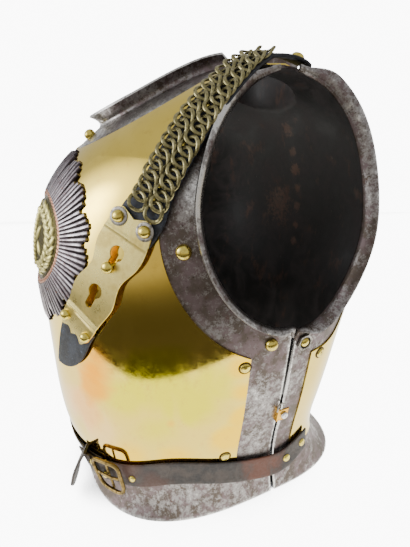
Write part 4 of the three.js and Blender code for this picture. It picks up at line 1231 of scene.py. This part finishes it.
def belt_band(start, end, lift):
    """A stretch of belt between two turns. Its thickness rounds off at the edges, t*(1-q^8)^0.4 at q
    from the middle to the edge."""
    turn = np.linspace(start, end, 150)
    q = np.concatenate([[-1, -0.985, -0.95], np.linspace(-0.85, 0.85, 9), [0.95, 0.985, 1]])
    middle, _ = belt_spot(turn, 0 * turn, 0 * turn)
    rise = lift(middle[:, 0], middle[:, 1])[:, None] + 0 * q
    bulge = BELT_THICK / 2 * (1 - np.abs(q) ** 8) ** 0.4
    wide, above = np.meshgrid(turn, sizes().belt_wide / MM / 2 * q, indexing="ij")
    outer, _ = belt_spot(wide, above, rise + BELT_THICK / 2 + bulge)
    inner, _ = belt_spot(wide, above, rise + BELT_THICK / 2 - bulge)
    points, faces, _, _ = shell(outer, inner)
    return points, faces.tolist()


def tube_part(route, radius, closed=False):
    """A round wire along a route of points."""
    route = np.asarray(route, float)
    if closed:
        tangent = unit(np.roll(route, -1, 0) - np.roll(route, 1, 0))
    else:
        tangent = unit(np.gradient(route, axis=0))
    first = unit(np.cross(tangent, (0.21, 0.35, 0.91)))
    second = np.cross(tangent, first)
    angle = angles(12)[:, None]
    rings = route[:, None] + radius * (np.cos(angle) * first[:, None] + np.sin(angle) * second[:, None])
    return loft(rings, closed=closed)


def buckle_parts():
    """A rounded rectangular frame bent to the body, its prong, and the middle bar."""
    t = angles(56)
    c, s = np.cos(t), np.sin(t)
    aside = BUCKLE_HALF_WIDE * np.sign(c) * np.abs(c) ** 0.45
    tall = BUCKLE_HALF_TALL * np.sign(s) * np.abs(s) ** 0.45
    middle = belt_turn(BUCKLE_X)
    step = abs(belt_turn(BUCKLE_X - 5) - belt_turn(BUCKLE_X + 5)) / 10
    turn = middle - aside * step
    lift = BELT_LIFT + 2 * BELT_THICK + 3.4
    frame_points, _ = belt_spot(turn, tall, lift + 0 * turn)
    t = np.linspace(0, 1, 20)
    prong_points, _ = belt_spot(middle + (9 - 20 * t) * step, 0 * t, lift + 0.6 * np.sin(3 * t))
    bar_points, _ = belt_spot(middle + 0 * t, 36 * t - 18, lift - 2.6 + 0 * t)
    return merge([tube_part(frame_points, BUCKLE_WIRE, closed=True), tube_part(prong_points, PRONG_WIRE),
                  tube_part(bar_points, BAR_WIRE)])


def loose_end():
    """The belt's end, turned out of its keeper and hanging: its middle follows LOOSE_ROUTE, and its last
    stretch narrows to a rounded tip."""
    route = spline(np.linspace(0, 1, len(LOOSE_ROUTE)), LOOSE_ROUTE)(np.linspace(0, 1, 30))
    half = sizes().belt_wide / MM / 2 * (1 - 0.75 * np.clip(np.linspace(-5.6, 1, 30), 0, 1) ** 2)
    section = strap_section(half, half, BELT_THICK)
    across = unit(np.array(LOOSE_ACROSS, float))
    out = unit(np.cross(np.gradient(route, axis=0), across))
    return loft(route[:, None] + section[..., :1] * across + section[..., 1:] * out[:, None])


def build_belt():
    """The belt's two sides, which overlap at the buckle, with its keeper, studs and side rivets."""
    rear = float(turn_at_y(-1, BELT_REAR_Y, BELT_AT))

    def under(x, y):
        return BELT_LIFT + 0 * x

    def over(x, y):
        return BELT_LIFT + np.where(y < -60, (BELT_THICK + 0.8) * smoothstep((BUCKLE_X + 4 - x) / 16), 0)

    leather = material_belt()
    left = merge([belt_band(rear, belt_turn(BELT_END_X), over), loose_end()])
    right = mirror(*belt_band(rear, belt_turn(BELT_UNDER_X), under))
    add_piece("belt left", left, ["belt_left"], leather)
    add_piece("belt right", right, ["belt_right"], leather)
    add_piece("belt buckle", buckle_parts(), ["belt_buckle"], material_dark_brass())
    aside = np.array([-1, 1, 1, -1]) * KEEPER_TURN
    t = np.linspace(0, 1, 14)
    turn = belt_turn(BUCKLE_X - KEEPER_FAR)
    lift = BELT_LIFT + 2 * BELT_THICK + 1.2
    lifts = np.array([0, 0, KEEPER_THICK, KEEPER_THICK]) + lift
    rings = [belt_spot(turn + aside, np.full(4, KEEPER_TALL * (k - 0.5)), lifts)[0] for k in t]
    add_piece("belt keeper", loft(np.array(rings)), [], leather)
    heads = []
    for x, above, extra in BELT_STUDS:
        spot, normal = belt_spot(belt_turn(x), above, BELT_LIFT + BELT_THICK + extra - 0.2)
        heads.append(lathe(dome(3.8, 2.6), spot, normal))
    add_piece("belt studs", merge(heads), [], material_rivet())
    for name, y in BELT_RIVETS:
        turn = float(turn_at_y(-1, y, BELT_AT))
        spot, normal = belt_spot(turn, 0.0, BELT_LIFT + BELT_THICK)
        head = lathe(dome(4.6, 2.4), spot, normal)
        add_pair(f"belt rivet {name}", head, f"rivet_belt_{name}", material_rivet())


# ---------------------------------------------------------------- materials

def linear(code):
    """Linear colour from an sRGB hex code."""
    parts = [int(code[i:i + 2], 16) / 255 for i in (1, 3, 5)]
    return tuple(c / 12.92 if c <= 0.04045 else ((c + 0.055) / 1.055) ** 2.4 for c in parts) + (1.0,)


def row_frame(point):
    """A point in the wearer's axes, in millimetres, as metres in the scene."""
    return (point[0] * MM, (point[1] + CENTRE_SHIFT) * MM, point[2] * MM)


class Paint:
    """A material's node tree, with short names for the nodes that the finishes use."""

    def __init__(self, name):
        self.material = bpy.data.materials.new(name)
        self.material.use_nodes = True
        self.tree = self.material.node_tree
        self.shader = self.tree.nodes["Principled BSDF"]
        self.place = self.tree.nodes.new("ShaderNodeTexCoord").outputs["Object"]

    def join(self, value, socket):
        if isinstance(value, bpy.types.NodeSocket):
            self.tree.links.new(value, socket)
        else:
            socket.default_value = value

    def node(self, kind, inputs=(), **settings):
        made = self.tree.nodes.new(kind)
        for key, value in settings.items():
            setattr(made, key, value)
        for key, value in dict(inputs).items():
            self.join(value, made.inputs[key])
        return made

    def noise(self, size, detail=4.0, rough=0.55, stretch=None, twist=0.0):
        """Noise with features of a size in millimetres; stretch scales the three axes first."""
        vector = self.place
        if stretch:
            vector = self.node("ShaderNodeMapping", {"Vector": vector, "Scale": stretch}).outputs[0]
        inputs = {"Vector": vector, "Scale": 1000 / size, "Detail": detail, "Roughness": rough,
                  "Distortion": twist}
        return self.node("ShaderNodeTexNoise", inputs).outputs["Fac"]

    def span(self, value, low, high, to_low=0.0, to_high=1.0):
        inputs = {"Value": value, "From Min": low, "From Max": high, "To Min": to_low, "To Max": to_high}
        return self.node("ShaderNodeMapRange", inputs, interpolation_type="SMOOTHSTEP").outputs[0]

    def spots(self, rows, edge=None):
        """The strongest of several soft round patches, each given as x, y, z, radius and strength."""
        total = None
        for x, y, z, radius, strength in rows:
            inputs = {0: self.place, 1: row_frame((x, y, z))}
            away = self.node("ShaderNodeVectorMath", inputs, operation="DISTANCE").outputs["Value"]
            if edge is not None:
                away = self.maths("ADD", away, self.maths("MULTIPLY", edge, radius * 0.5 * MM))
            here = self.span(away, radius * MM, radius * 0.25 * MM, 0.0, strength)
            total = here if total is None else self.maths("MAXIMUM", total, here)
        return total

    def maths(self, operation, first, second=0.0):
        return self.node("ShaderNodeMath", {0: first, 1: second}, operation=operation).outputs[0]

    def mix(self, part, first, second):
        made = self.node("ShaderNodeMix", data_type="RGBA")
        self.join(part, made.inputs[0])
        self.join(first, made.inputs[6])
        self.join(second, made.inputs[7])
        return made.outputs[2]

    def attribute(self, name):
        return self.node("ShaderNodeAttribute", attribute_name=name).outputs["Fac"]

    def bump(self, rows):
        """Bumps in a chain, each given as height value, strength and depth in millimetres."""
        normal = None
        for value, strength, depth in rows:
            inputs = {"Height": value, "Strength": strength, "Distance": depth * MM}
            made = self.node("ShaderNodeBump", inputs)
            if normal is not None:
                self.join(normal, made.inputs["Normal"])
            normal = made.outputs[0]
        self.join(normal, self.shader.inputs["Normal"])

    def set(self, **values):
        names = {"colour": "Base Color", "metal": "Metallic", "rough": "Roughness",
                 "specular": "Specular IOR Level"}
        for key, value in values.items():
            self.join(value, self.shader.inputs[names[key]])


def once(build):
    """Builds a material the first time and gives the same one after that."""
    kept = {}

    def get():
        if build not in kept:
            kept[build] = build()
        return kept[build]

    return get


# Patches, as x, y, z, radius and strength: where the steel is worn bright or dull, where heat and
# polish have stained the brass, and where the inside has rusted along its middle.
WORN = (
    (150, -80, 335, 34, 1.0),
    (148, -60, 395, 26, 0.9),
    (152, -30, 130, 46, 0.4),
    (150, -20, 80, 40, 0.35),
    (125, -110, 12, 60, 0.4),
    (0, -140, 392, 70, 0.8),
    (75, -105, 412, 50, 0.9),
    (160, 20, 150, 30, 0.25),
)
ORANGE = (
    (80, -168, 168, 34, 1.0),
    (76, -172, 148, 30, 0.9),
    (62, -178, 120, 34, 0.35),
    (125, -105, 118, 9, 0.6),
    (119, -112, 114, 7, 0.5),
)
PINK = (
    (66, -178, 150, 46, 0.25),
    (52, -182, 118, 46, 0.8),
    (80, -165, 100, 40, 0.5),
)
WARM = (
    (160, -50, 200, 14, 0.8),
    (155, -45, 180, 16, 0.9),
    (152, -42, 150, 16, 0.9),
    (150, -42, 120, 20, 0.9),
    (148, -55, 90, 30, 0.9),
    (130, -105, 72, 34, 0.8),
    (100, -140, 72, 34, 0.7),
)
SPINE = (
    (-2, 118, 400, 12, 0.5),
    (0, 128, 372, 9, 0.5),
    (0, 133, 350, 12, 0.7),
    (2, 136, 325, 8, 0.5),
    (0, 138, 300, 9, 0.5),
    (0, 139, 275, 7, 0.6),
    (0, 138, 252, 8, 0.5),
    (-40, 128, 300, 34, 0.5),
)
BELT_RUST = (
    (146, -8, 46, 34, 1.0),
    (100, -148, 58, 22, 0.45),
    (120, -125, 36, 26, 0.4),
)
GREEN = (
    (120, -120, 150, 60, 0.9),
    (120, -120, 110, 50, 0.7),
    (140, -85, 140, 50, 0.9),
    (105, -140, 140, 50, 0.8),
)

DULL = (
    (70, -160, 14, 70, 0.9),
    (125, -120, 12, 60, 0.8),
    (150, -40, 90, 50, 0.5),
    (165, 60, 300, 90, 0.7),
    (165, 75, 200, 80, 0.6),
    (150, 50, 90, 60, 0.5),
)


@once
def material_iron():
    """Bare forged steel: grey where handled, brown and pitted elsewhere, with bright worn edges and painted
    shade in the crease at the foot of the armhole's turned edge.
    """
    paint = Paint("wrought steel, worn and pitted")
    broad = paint.noise(42, 5, 0.6, twist=0.6)
    grain = paint.noise(5.5, 6, 0.7)
    fine = paint.noise(1.4, 3, 0.6)
    worn = paint.spots(WORN, paint.span(broad, 0.3, 0.7, -0.6, 0.6))
    # edge holds the worn edges, and below zero the crease where shade is painted.
    edge = paint.attribute("worn")
    small = paint.span(grain, 0.34, 0.66, -0.28, 0.28)
    level = paint.maths("ADD", small, paint.span(broad, 0.35, 0.68, 0.02, 0.45))
    level = paint.maths("ADD", level, paint.maths("MULTIPLY", worn, 0.72))
    dull = paint.spots(DULL, paint.span(broad, 0.3, 0.7, -0.5, 0.5))
    level = paint.maths("SUBTRACT", level, paint.maths("MULTIPLY", dull, 0.3))
    level = paint.maths("ADD", level, paint.span(fine, 0.3, 0.7, -0.14, 0.14))
    level = paint.maths("ADD", level, paint.maths("MULTIPLY", paint.maths("MAXIMUM", edge, 0.0), 0.75))
    patina = paint.mix(paint.span(paint.noise(14, 4, 0.6), 0.4, 0.62), linear("#5f564f"), linear("#77696a"))
    patina = paint.mix(paint.span(paint.noise(9, 5, 0.7), 0.56, 0.72, 0, 0.5), patina, linear("#5e4436"))
    middle = paint.mix(paint.span(level, 0.15, 0.6), patina, linear("#94908e"))
    colour = paint.mix(paint.span(level, 0.6, 1.1), middle, linear("#dad8d4"))
    pit = paint.span(paint.noise(3.1, 3, 0.6), 0.62, 0.7, 0, 0.65)
    colour = paint.mix(pit, colour, linear("#3b322e"))
    # Painted shade: the crease at the foot of the turned edge is darkened towards #2a2320.
    crease = paint.span(paint.maths("MULTIPLY", edge, -1.0), 0.35, 0.95, 0, 0.85)
    colour = paint.mix(crease, colour, linear("#2a2320"))
    paint.set(colour=colour, metal=1.0, rough=paint.span(level, 0.2, 1.1, 0.46, 0.27))
    paint.bump([(paint.noise(38, 2), 0.25, 1.4), (grain, 0.35, 0.35), (fine, 0.4, 0.12)])
    return paint.material


@once
def material_inside():
    """Blackened steel with rust along the middle: it looks nearly black and half matt."""
    paint = Paint("wrought steel, blackened inside")
    broad = paint.noise(48, 5, 0.62, twist=1.1)
    streak = paint.noise(30, 5, 0.65, stretch=(1.3, 1.3, 0.7))
    colour = paint.mix(paint.span(broad, 0.4, 0.66), linear("#0f0d0d"), linear("#2a2424"))
    colour = paint.mix(paint.span(streak, 0.55, 0.7, 0, 0.8), colour, linear("#3f2a20"))
    spine = paint.spots(SPINE, paint.span(paint.noise(6, 4, 0.7), 0.3, 0.7, -0.7, 0.7))
    colour = paint.mix(spine, colour, linear("#5b4234"))
    scratch = paint.noise(3.2, 3, 0.6, stretch=(1, 1, 0.25))
    colour = paint.mix(paint.span(scratch, 0.73, 0.79, 0, 0.3), colour, linear("#8f8884"))
    paint.set(colour=colour, metal=0.4, rough=paint.span(broad, 0.3, 0.7, 0.46, 0.66))
    paint.bump([(paint.noise(7, 5, 0.65), 0.4, 0.5)])
    return paint.material


@once
def material_brass():
    """Rolled and polished brass: a mirror with soft waves, fine scratches and heat stains."""
    paint = Paint("brass sheet, polished")
    cloud = paint.noise(70, 3, 0.5, twist=0.8)
    haze = paint.noise(9, 5, 0.65)
    brush = paint.noise(3.2, 3, 0.5, stretch=(1, 1, 5))
    base = (*sizes().brass_colour, 1.0)
    colour = paint.mix(paint.span(cloud, 0.35, 0.65), base, linear("#e2c65a"))
    colour = paint.mix(paint.spots(GREEN, paint.span(cloud, 0.3, 0.7, -0.7, 0.7)), colour, linear("#d6cc18"))
    colour = paint.mix(paint.spots(WARM, paint.span(cloud, 0.3, 0.7, -0.5, 0.5)), colour, linear("#f8c808"))
    pink = paint.spots(PINK, paint.span(cloud, 0.3, 0.7, -0.6, 0.6))
    colour = paint.mix(pink, colour, linear("#f0c48a"))
    orange = paint.spots(ORANGE, paint.span(cloud, 0.3, 0.7, -0.6, 0.6))
    colour = paint.mix(orange, colour, linear("#f2a000"))
    dull = paint.span(haze, 0.52, 0.75, 0, 0.22)
    colour = paint.mix(dull, colour, linear("#b39348"))
    speck = paint.span(paint.noise(2.2, 2, 0.5), 0.74, 0.8, 0, 0.6)
    colour = paint.mix(speck, colour, linear("#7a5c2a"))
    rough = paint.span(haze, 0.3, 0.8, 0.05, 0.13)
    rough = paint.maths("ADD", rough, paint.span(brush, 0.3, 0.7, -0.02, 0.03))
    paint.set(colour=colour, metal=1.0, rough=rough)
    scratch = paint.noise(1.1, 2, 0.5, stretch=(0.5, 0.5, 4))
    waves = paint.noise(60, 2, 0.4)
    dents = paint.noise(16, 2, 0.4)
    paint.bump([(waves, 0.2, 0.35), (dents, 0.04, 0.25), (scratch, 0.05, 0.05)])
    return paint.material


def metal(name, bright, dark, rough, size=6.0, share=(0.42, 0.7), bumps=0.15):
    """A metal finish that is bright with darker clouds of a size in millimetres."""
    paint = Paint(name)
    cloud = paint.noise(size, 5, 0.65)
    paint.set(colour=paint.mix(paint.span(cloud, *share), linear(bright), linear(dark)), metal=1.0)
    paint.set(rough=paint.span(cloud, 0.3, 0.75, rough - 0.05, rough + 0.12))
    paint.bump([(cloud, bumps, 0.3)])
    return paint.material


@once
def material_rivet():
    """Cast brass heads: bright yellow with darker clouds."""
    return metal("brass rivets, cast", "#e9d56a", "#b79c48", 0.22, 3.5)


@once
def material_plate():
    """Brushed brass plate: paler and duller than the facing."""
    return metal("brass plate, brushed", "#e9d887", "#c9b162", 0.3, 11, share=(0.4, 0.75), bumps=0.08)


@once
def material_bright_brass():
    """Newer brass: a warm, clean gloss."""
    return metal("brass bracket, bright", "#f2bb45", "#d99a2b", 0.2, 8)


@once
def material_dark_brass():
    """Tarnished brass: brown with dim highlights."""
    return metal("brass buckle, tarnished", "#8a7444", "#4c3f26", 0.38, 4)


@once
def material_washer():
    """Turned steel, dulled: soft grey highlights."""
    return metal("steel washers, dull", "#a8a49c", "#6b6660", 0.4, 3)


@once
def material_bright_steel():
    """Polished steel: small sharp highlights."""
    return metal("steel screws, bright", "#e6e4e2", "#a8a5a2", 0.25, 3)


@once
def material_tarnish():
    """Grime and tarnish: a dark ring round a bright head."""
    return metal("tarnish under rivet heads", "#5b482a", "#33291b", 0.6, 3)


@once
def material_chain():
    """Drawn brass wire: straw-coloured, with dirt in its hollows."""
    paint = Paint("brass wire, dulled")
    cloud = paint.noise(7, 4, 0.6)
    dirt = paint.noise(2.2, 4, 0.6)
    colour = paint.mix(paint.span(cloud, 0.35, 0.7), linear("#a49c72"), linear("#7d7650"))
    colour = paint.mix(paint.span(dirt, 0.5, 0.68, 0, 0.85), colour, linear("#3f3a2a"))
    paint.set(colour=colour, metal=1.0, rough=paint.span(dirt, 0.3, 0.75, 0.3, 0.5))
    paint.bump([(dirt, 0.2, 0.2)])
    return paint.material


@once
def material_silver():
    """Silvered brass, struck: pale crests and dark valleys, with brass showing in spots."""
    paint = Paint("silvered brass, struck")
    cloud = paint.noise(12, 5, 0.65)
    colour = paint.mix(paint.span(cloud, 0.36, 0.7), linear("#cfc8cd"), linear("#8f8388"))
    valley = paint.span(paint.attribute("raised"), 0.2, 0.8, 0.95, 0.0)
    colour = paint.mix(valley, colour, linear("#2c2427"))
    colour = paint.mix(paint.span(paint.noise(3, 3, 0.6), 0.6, 0.74, 0, 0.6), colour, linear("#7c5546"))
    paint.set(colour=colour, metal=1.0, rough=paint.span(cloud, 0.3, 0.7, 0.3, 0.44))
    paint.bump([(paint.noise(1.6, 3, 0.6), 0.25, 0.2)])
    return paint.material


@once
def material_struck():
    """Struck brass: its relief is rubbed bright over a dark ground, inside a copper rope."""
    paint = Paint("brass relief, struck and tarnished")
    raised = paint.attribute("raised")
    cloud = paint.noise(4, 4, 0.65)
    colour = paint.mix(paint.span(raised, 0.05, 0.75), linear("#4b4527"), linear("#d9cf87"))
    colour = paint.mix(paint.span(cloud, 0.55, 0.75, 0, 0.5), colour, linear("#8f8752"))
    colour = paint.mix(paint.attribute("rope"), colour, linear("#b98a72"))
    paint.set(colour=colour, metal=1.0, rough=paint.span(cloud, 0.3, 0.7, 0.34, 0.5))
    paint.bump([(cloud, 0.2, 0.2)])
    return paint.material


@once
def material_strap():
    """Oiled leather, dark blue-grey: creased, with pale rubbed lines."""
    paint = Paint("strap leather, dark blue-grey")
    crease = paint.noise(3.2, 5, 0.7)
    worn = paint.noise(11, 4, 0.6)
    colour = paint.mix(paint.span(worn, 0.38, 0.68), linear("#15171c"), linear("#2b313c"))
    colour = paint.mix(paint.span(crease, 0.56, 0.7, 0, 0.6), colour, linear("#5d6675"))
    paint.set(colour=colour, metal=0.0, rough=paint.span(crease, 0.3, 0.7, 0.5, 0.72))
    paint.bump([(crease, 0.5, 0.4), (paint.noise(0.9, 2), 0.25, 0.1)])
    return paint.material


@once
def material_belt():
    """Oiled leather, dark brown: creased, with rust stains from the steel."""
    paint = Paint("belt leather, dark brown")
    crease = paint.noise(2.6, 5, 0.7)
    worn = paint.noise(15, 5, 0.6, twist=0.5)
    rust = paint.spots(BELT_RUST, paint.span(worn, 0.3, 0.7, -0.5, 0.5))
    leather = (*sizes().belt_colour, 1.0)
    colour = paint.mix(paint.span(worn, 0.38, 0.66), linear("#1f1a18"), leather)
    colour = paint.mix(rust, colour, linear("#5f3019"))
    colour = paint.mix(paint.span(crease, 0.6, 0.74, 0, 0.5), colour, linear("#6d635d"))
    paint.set(colour=colour, metal=0.0, rough=paint.span(crease, 0.3, 0.7, 0.42, 0.66))
    paint.bump([(crease, 0.5, 0.35), (paint.noise(0.8, 2), 0.25, 0.1)])
    return paint.material


# ---------------------------------------------------------------- camera, lights and floor

CAMERA = {"turn": 63.35, "rise": 16.01, "distance": 514.4, "focal_share": 388.95 / 547, "roll": -0.52,
          "target": (-11.47, 1.68, 218.71)}
SENSOR = 36
ROOM_LIGHT = 0.7
STAGE_REACH = 9.0
WALL_HIGH = 12
TABLE_GLOW = 2.7
WALL_GLOW = 3.2
FLOOR_GLOW = 10.0
WINDOW_SIZE = (3.0, 2.4)
WALL_PLACE = (-2.0, 0.7, 0.3)
WALL_SIZE = (3.6, 0.75)
SIDES = (("left", -1, 0), ("right", 1, 0), ("front", 0, -1), ("back", 0, 1))
TABLE = {"x": -0.467, "y": 0.253, "radius": 0.895}
WINDOW = (-0.34, -2.02, 0.8)


def build_camera():
    """The camera, turned round and raised from the front, and rolled about its own axis."""
    turn, rise, roll = (math.radians(CAMERA[key]) for key in ("turn", "rise", "roll"))
    back = Vector((math.sin(turn) * math.cos(rise), -math.cos(turn) * math.cos(rise), math.sin(rise)))
    place = Vector(CAMERA["target"]) + back * CAMERA["distance"]
    right = (-back).cross(Vector((0, 0, 1))).normalized()
    up = right.cross(-back)
    across = right * math.cos(roll) + up * math.sin(roll)
    upright = up * math.cos(roll) - right * math.sin(roll)
    data = bpy.data.cameras.new("Camera")
    data.sensor_fit = "VERTICAL"
    data.sensor_height = SENSOR
    data.lens = SENSOR * CAMERA["focal_share"]
    data.clip_start = 0.01
    camera = bpy.data.objects.new("Camera", data)
    bpy.context.scene.collection.objects.link(camera)
    pose = Matrix((across, upright, back)).transposed().to_4x4()
    pose.translation = Vector(row_frame(place))
    camera.matrix_world = pose
    bpy.context.scene.camera = camera


def stage_sheet(name, outline, material, camera):
    """A flat sheet of the studio. Either only the camera sees it, or only the object's shading does."""
    data = bpy.data.meshes.new(name)
    data.from_pydata([Vector(point) for point in outline], [], [tuple(range(len(outline)))])
    data.materials.append(material)
    sheet = bpy.data.objects.new(name, data)
    collection().objects.link(sheet)
    sheet.visible_camera = camera
    for sort in ("visible_glossy", "visible_diffuse", "visible_transmission", "visible_shadow"):
        setattr(sheet, sort, not camera)


def glow(name, code, strength):
    """A material that shines evenly."""
    paint = Paint(name)
    paint.set(colour=linear("#000000"), specular=0.0)
    paint.join(linear(code), paint.shader.inputs["Emission Color"])
    paint.join(strength, paint.shader.inputs["Emission Strength"])
    return paint


def facing_sheet(name, centre, size, material):
    """An upright sheet around a point, square to the line from there to the object."""
    middle = Vector(centre)
    toward = (Vector((0, 0, 0.3)) - middle).normalized()
    aside = toward.cross(Vector((0, 0, 1))).normalized() * size[0] / 2
    up = aside.cross(toward).normalized() * size[1] / 2
    corners = [middle + aside + up, middle + aside - up, middle - aside - up, middle - aside + up]
    stage_sheet(name, corners, material, camera=False)


def build_stage():
    """A white floor and backdrop for the camera, and a white table top, a window, a pale wall and the darker
    floor of the room for the light that falls on the object. The floor's glow is dimmed by ambient occlusion:
    a painted shadow round and inside the cuirass."""
    reach = STAGE_REACH
    white = glow("pale backdrop", "#ffffff", FLOOR_GLOW).material
    square = [(-reach, -reach), (reach, -reach), (reach, reach), (-reach, reach)]
    ground = glow("pale floor, painted shadow", "#ffffff", 0.0)
    # Painted shadow: the floor's glow fades where ambient occlusion is low, near and inside the cuirass.
    shade = ground.node("ShaderNodeAmbientOcclusion", {"Distance": 0.6}, samples=12).outputs["AO"]
    ground.join(ground.span(shade, 0.22, 0.6, 0.01, FLOOR_GLOW), ground.shader.inputs["Emission Strength"])
    stage_sheet("floor", [(x, y, 0) for x, y in square], ground.material, camera=True)
    world = bpy.data.worlds.new("studio")
    world.use_nodes = True
    world.node_tree.nodes["Background"].inputs["Color"].default_value = linear("#ffffff")
    world.node_tree.nodes["Background"].inputs["Strength"].default_value = ROOM_LIGHT
    bpy.context.scene.world = world
    for name, x, y in SIDES:
        start = ((x - abs(y)) * reach, (y - abs(x)) * reach)
        end = ((x + abs(y)) * reach, (y + abs(x)) * reach)
        outline = [(*start, 0), (*end, 0), (*end, WALL_HIGH), (*start, WALL_HIGH)]
        stage_sheet(f"backdrop {name}", outline, white, camera=True)
    t = angles(96)
    radius = TABLE["radius"]
    outline = [(TABLE["x"] + radius * math.cos(a), TABLE["y"] + radius * math.sin(a), -0.001) for a in t]
    stage_sheet("table top", outline, glow("white table", "#fffdf6", TABLE_GLOW).material, camera=False)
    room = glow("room floor", "#fff2dd", 0.0)
    away = room.node("ShaderNodeVectorMath", {0: room.place}, operation="LENGTH").outputs["Value"]
    room.join(room.span(away, 0.55, 2.6, 0.1, 0.75), room.shader.inputs["Emission Strength"])
    stage_sheet("room floor", [(x * 0.9, y * 0.9, -0.002) for x, y in square], room.material, camera=False)
    window = glow("window light", "#ffffff", 0.0)
    inputs = {0: window.place, 1: WINDOW}
    away = window.node("ShaderNodeVectorMath", inputs, operation="DISTANCE").outputs["Value"]
    shine = window.maths("ADD", window.span(away, 0.05, 0.6, 8.0, 0.0), window.span(away, 0.1, 1.5, 4.2, 0.8))
    window.join(shine, window.shader.inputs["Emission Strength"])
    facing_sheet("window", WINDOW, WINDOW_SIZE, window.material)
    facing_sheet("pale wall", WALL_PLACE, WALL_SIZE, glow("wall light", "#ffffff", WALL_GLOW).material)
    build_camera()


# ---------------------------------------------------------------- the add-on

class CuirassSizes(bpy.types.PropertyGroup):
    """Sizes and colours that a user would change."""

    steel_thick: bpy.props.FloatProperty(
        name="Steel thickness", description="Thickness of the steel plates", default=STEEL_THICK * MM,
        min=1 * MM, max=4 * MM, precision=4, unit="LENGTH", subtype="DISTANCE")
    belt_wide: bpy.props.FloatProperty(
        name="Belt width", description="Width of the waist belt", default=BELT_WIDE * MM,
        min=15 * MM, max=40 * MM, precision=4, unit="LENGTH", subtype="DISTANCE")
    chain_wire: bpy.props.FloatProperty(
        name="Chain wire", description="Radius of the wire of the chain links", default=WIRE * MM,
        min=0.6 * MM, max=1.6 * MM, precision=5, unit="LENGTH", subtype="DISTANCE")
    brass_colour: bpy.props.FloatVectorProperty(
        name="Brass colour", description="Colour of the polished facings", default=linear("#e9cd64")[:3],
        min=0, max=1, size=3, subtype="COLOR")
    belt_colour: bpy.props.FloatVectorProperty(
        name="Belt colour", description="Colour of the worn leather of the belt",
        default=linear("#41362f")[:3], min=0, max=1, size=3, subtype="COLOR")


class OBJECT_OT_cuirass_plates(bpy.types.Operator):
    """Build the breastplate and backplate with their brass facings"""

    bl_idname = "cuirass.plates"
    bl_label = "Plates"

    def execute(self, context):
        for plate_name in PLATES:
            build_plate(plate_name)
        return {"FINISHED"}


class OBJECT_OT_cuirass_straps(bpy.types.Operator):
    """Build the shoulder straps, their chains, end plates and tongues"""

    bl_idname = "cuirass.straps"
    bl_label = "Shoulder straps"

    def execute(self, context):
        build_straps()
        build_end_plates()
        build_tongues()
        return {"FINISHED"}


class OBJECT_OT_cuirass_star(bpy.types.Operator):
    """Build the star badge and its medallion"""

    bl_idname = "cuirass.star"
    bl_label = "Star badge"

    def execute(self, context):
        build_rays()
        build_medallion()
        return {"FINISHED"}


class OBJECT_OT_cuirass_rivets(bpy.types.Operator):
    """Build the plate rivets, the collar stud and the side clips"""

    bl_idname = "cuirass.rivets"
    bl_label = "Rivets and clips"

    def execute(self, context):
        build_rivets()
        build_clips()
        return {"FINISHED"}


class OBJECT_OT_cuirass_belt(bpy.types.Operator):
    """Build the waist belt and its buckle"""

    bl_idname = "cuirass.belt"
    bl_label = "Waist belt"

    def execute(self, context):
        build_belt()
        return {"FINISHED"}


class OBJECT_OT_cuirass_stage(bpy.types.Operator):
    """Build the floor, the sheets of light and the camera"""

    bl_idname = "cuirass.stage"
    bl_label = "Stage"

    def execute(self, context):
        build_stage()
        return {"FINISHED"}


OPERATORS = (
    OBJECT_OT_cuirass_plates,
    OBJECT_OT_cuirass_straps,
    OBJECT_OT_cuirass_star,
    OBJECT_OT_cuirass_rivets,
    OBJECT_OT_cuirass_belt,
    OBJECT_OT_cuirass_stage,
)


class VIEW3D_PT_cuirass(bpy.types.Panel):
    """Lists the pieces that can be built"""

    bl_label = "Cuirass"
    bl_idname = "VIEW3D_PT_cuirass"
    bl_space_type = "VIEW_3D"
    bl_region_type = "UI"
    bl_category = "Cuirass"

    def draw(self, context):
        for name in ("steel_thick", "belt_wide", "chain_wire", "brass_colour", "belt_colour"):
            self.layout.prop(context.scene.cuirass_sizes, name)
        for operator in OPERATORS:
            self.layout.operator(operator.bl_idname)


CLASSES = (CuirassSizes, *OPERATORS, VIEW3D_PT_cuirass)


def register():
    for cls in CLASSES:
        bpy.utils.register_class(cls)
    bpy.types.Scene.cuirass_sizes = bpy.props.PointerProperty(type=CuirassSizes)


def unregister():
    del bpy.types.Scene.cuirass_sizes
    for cls in reversed(CLASSES):
        bpy.utils.unregister_class(cls)


def main():
    register()
    bpy.ops.cuirass.plates()
    bpy.ops.cuirass.straps()
    bpy.ops.cuirass.star()
    bpy.ops.cuirass.rivets()
    bpy.ops.cuirass.belt()
    bpy.ops.cuirass.stage()


if __name__ == "__main__":
    main()
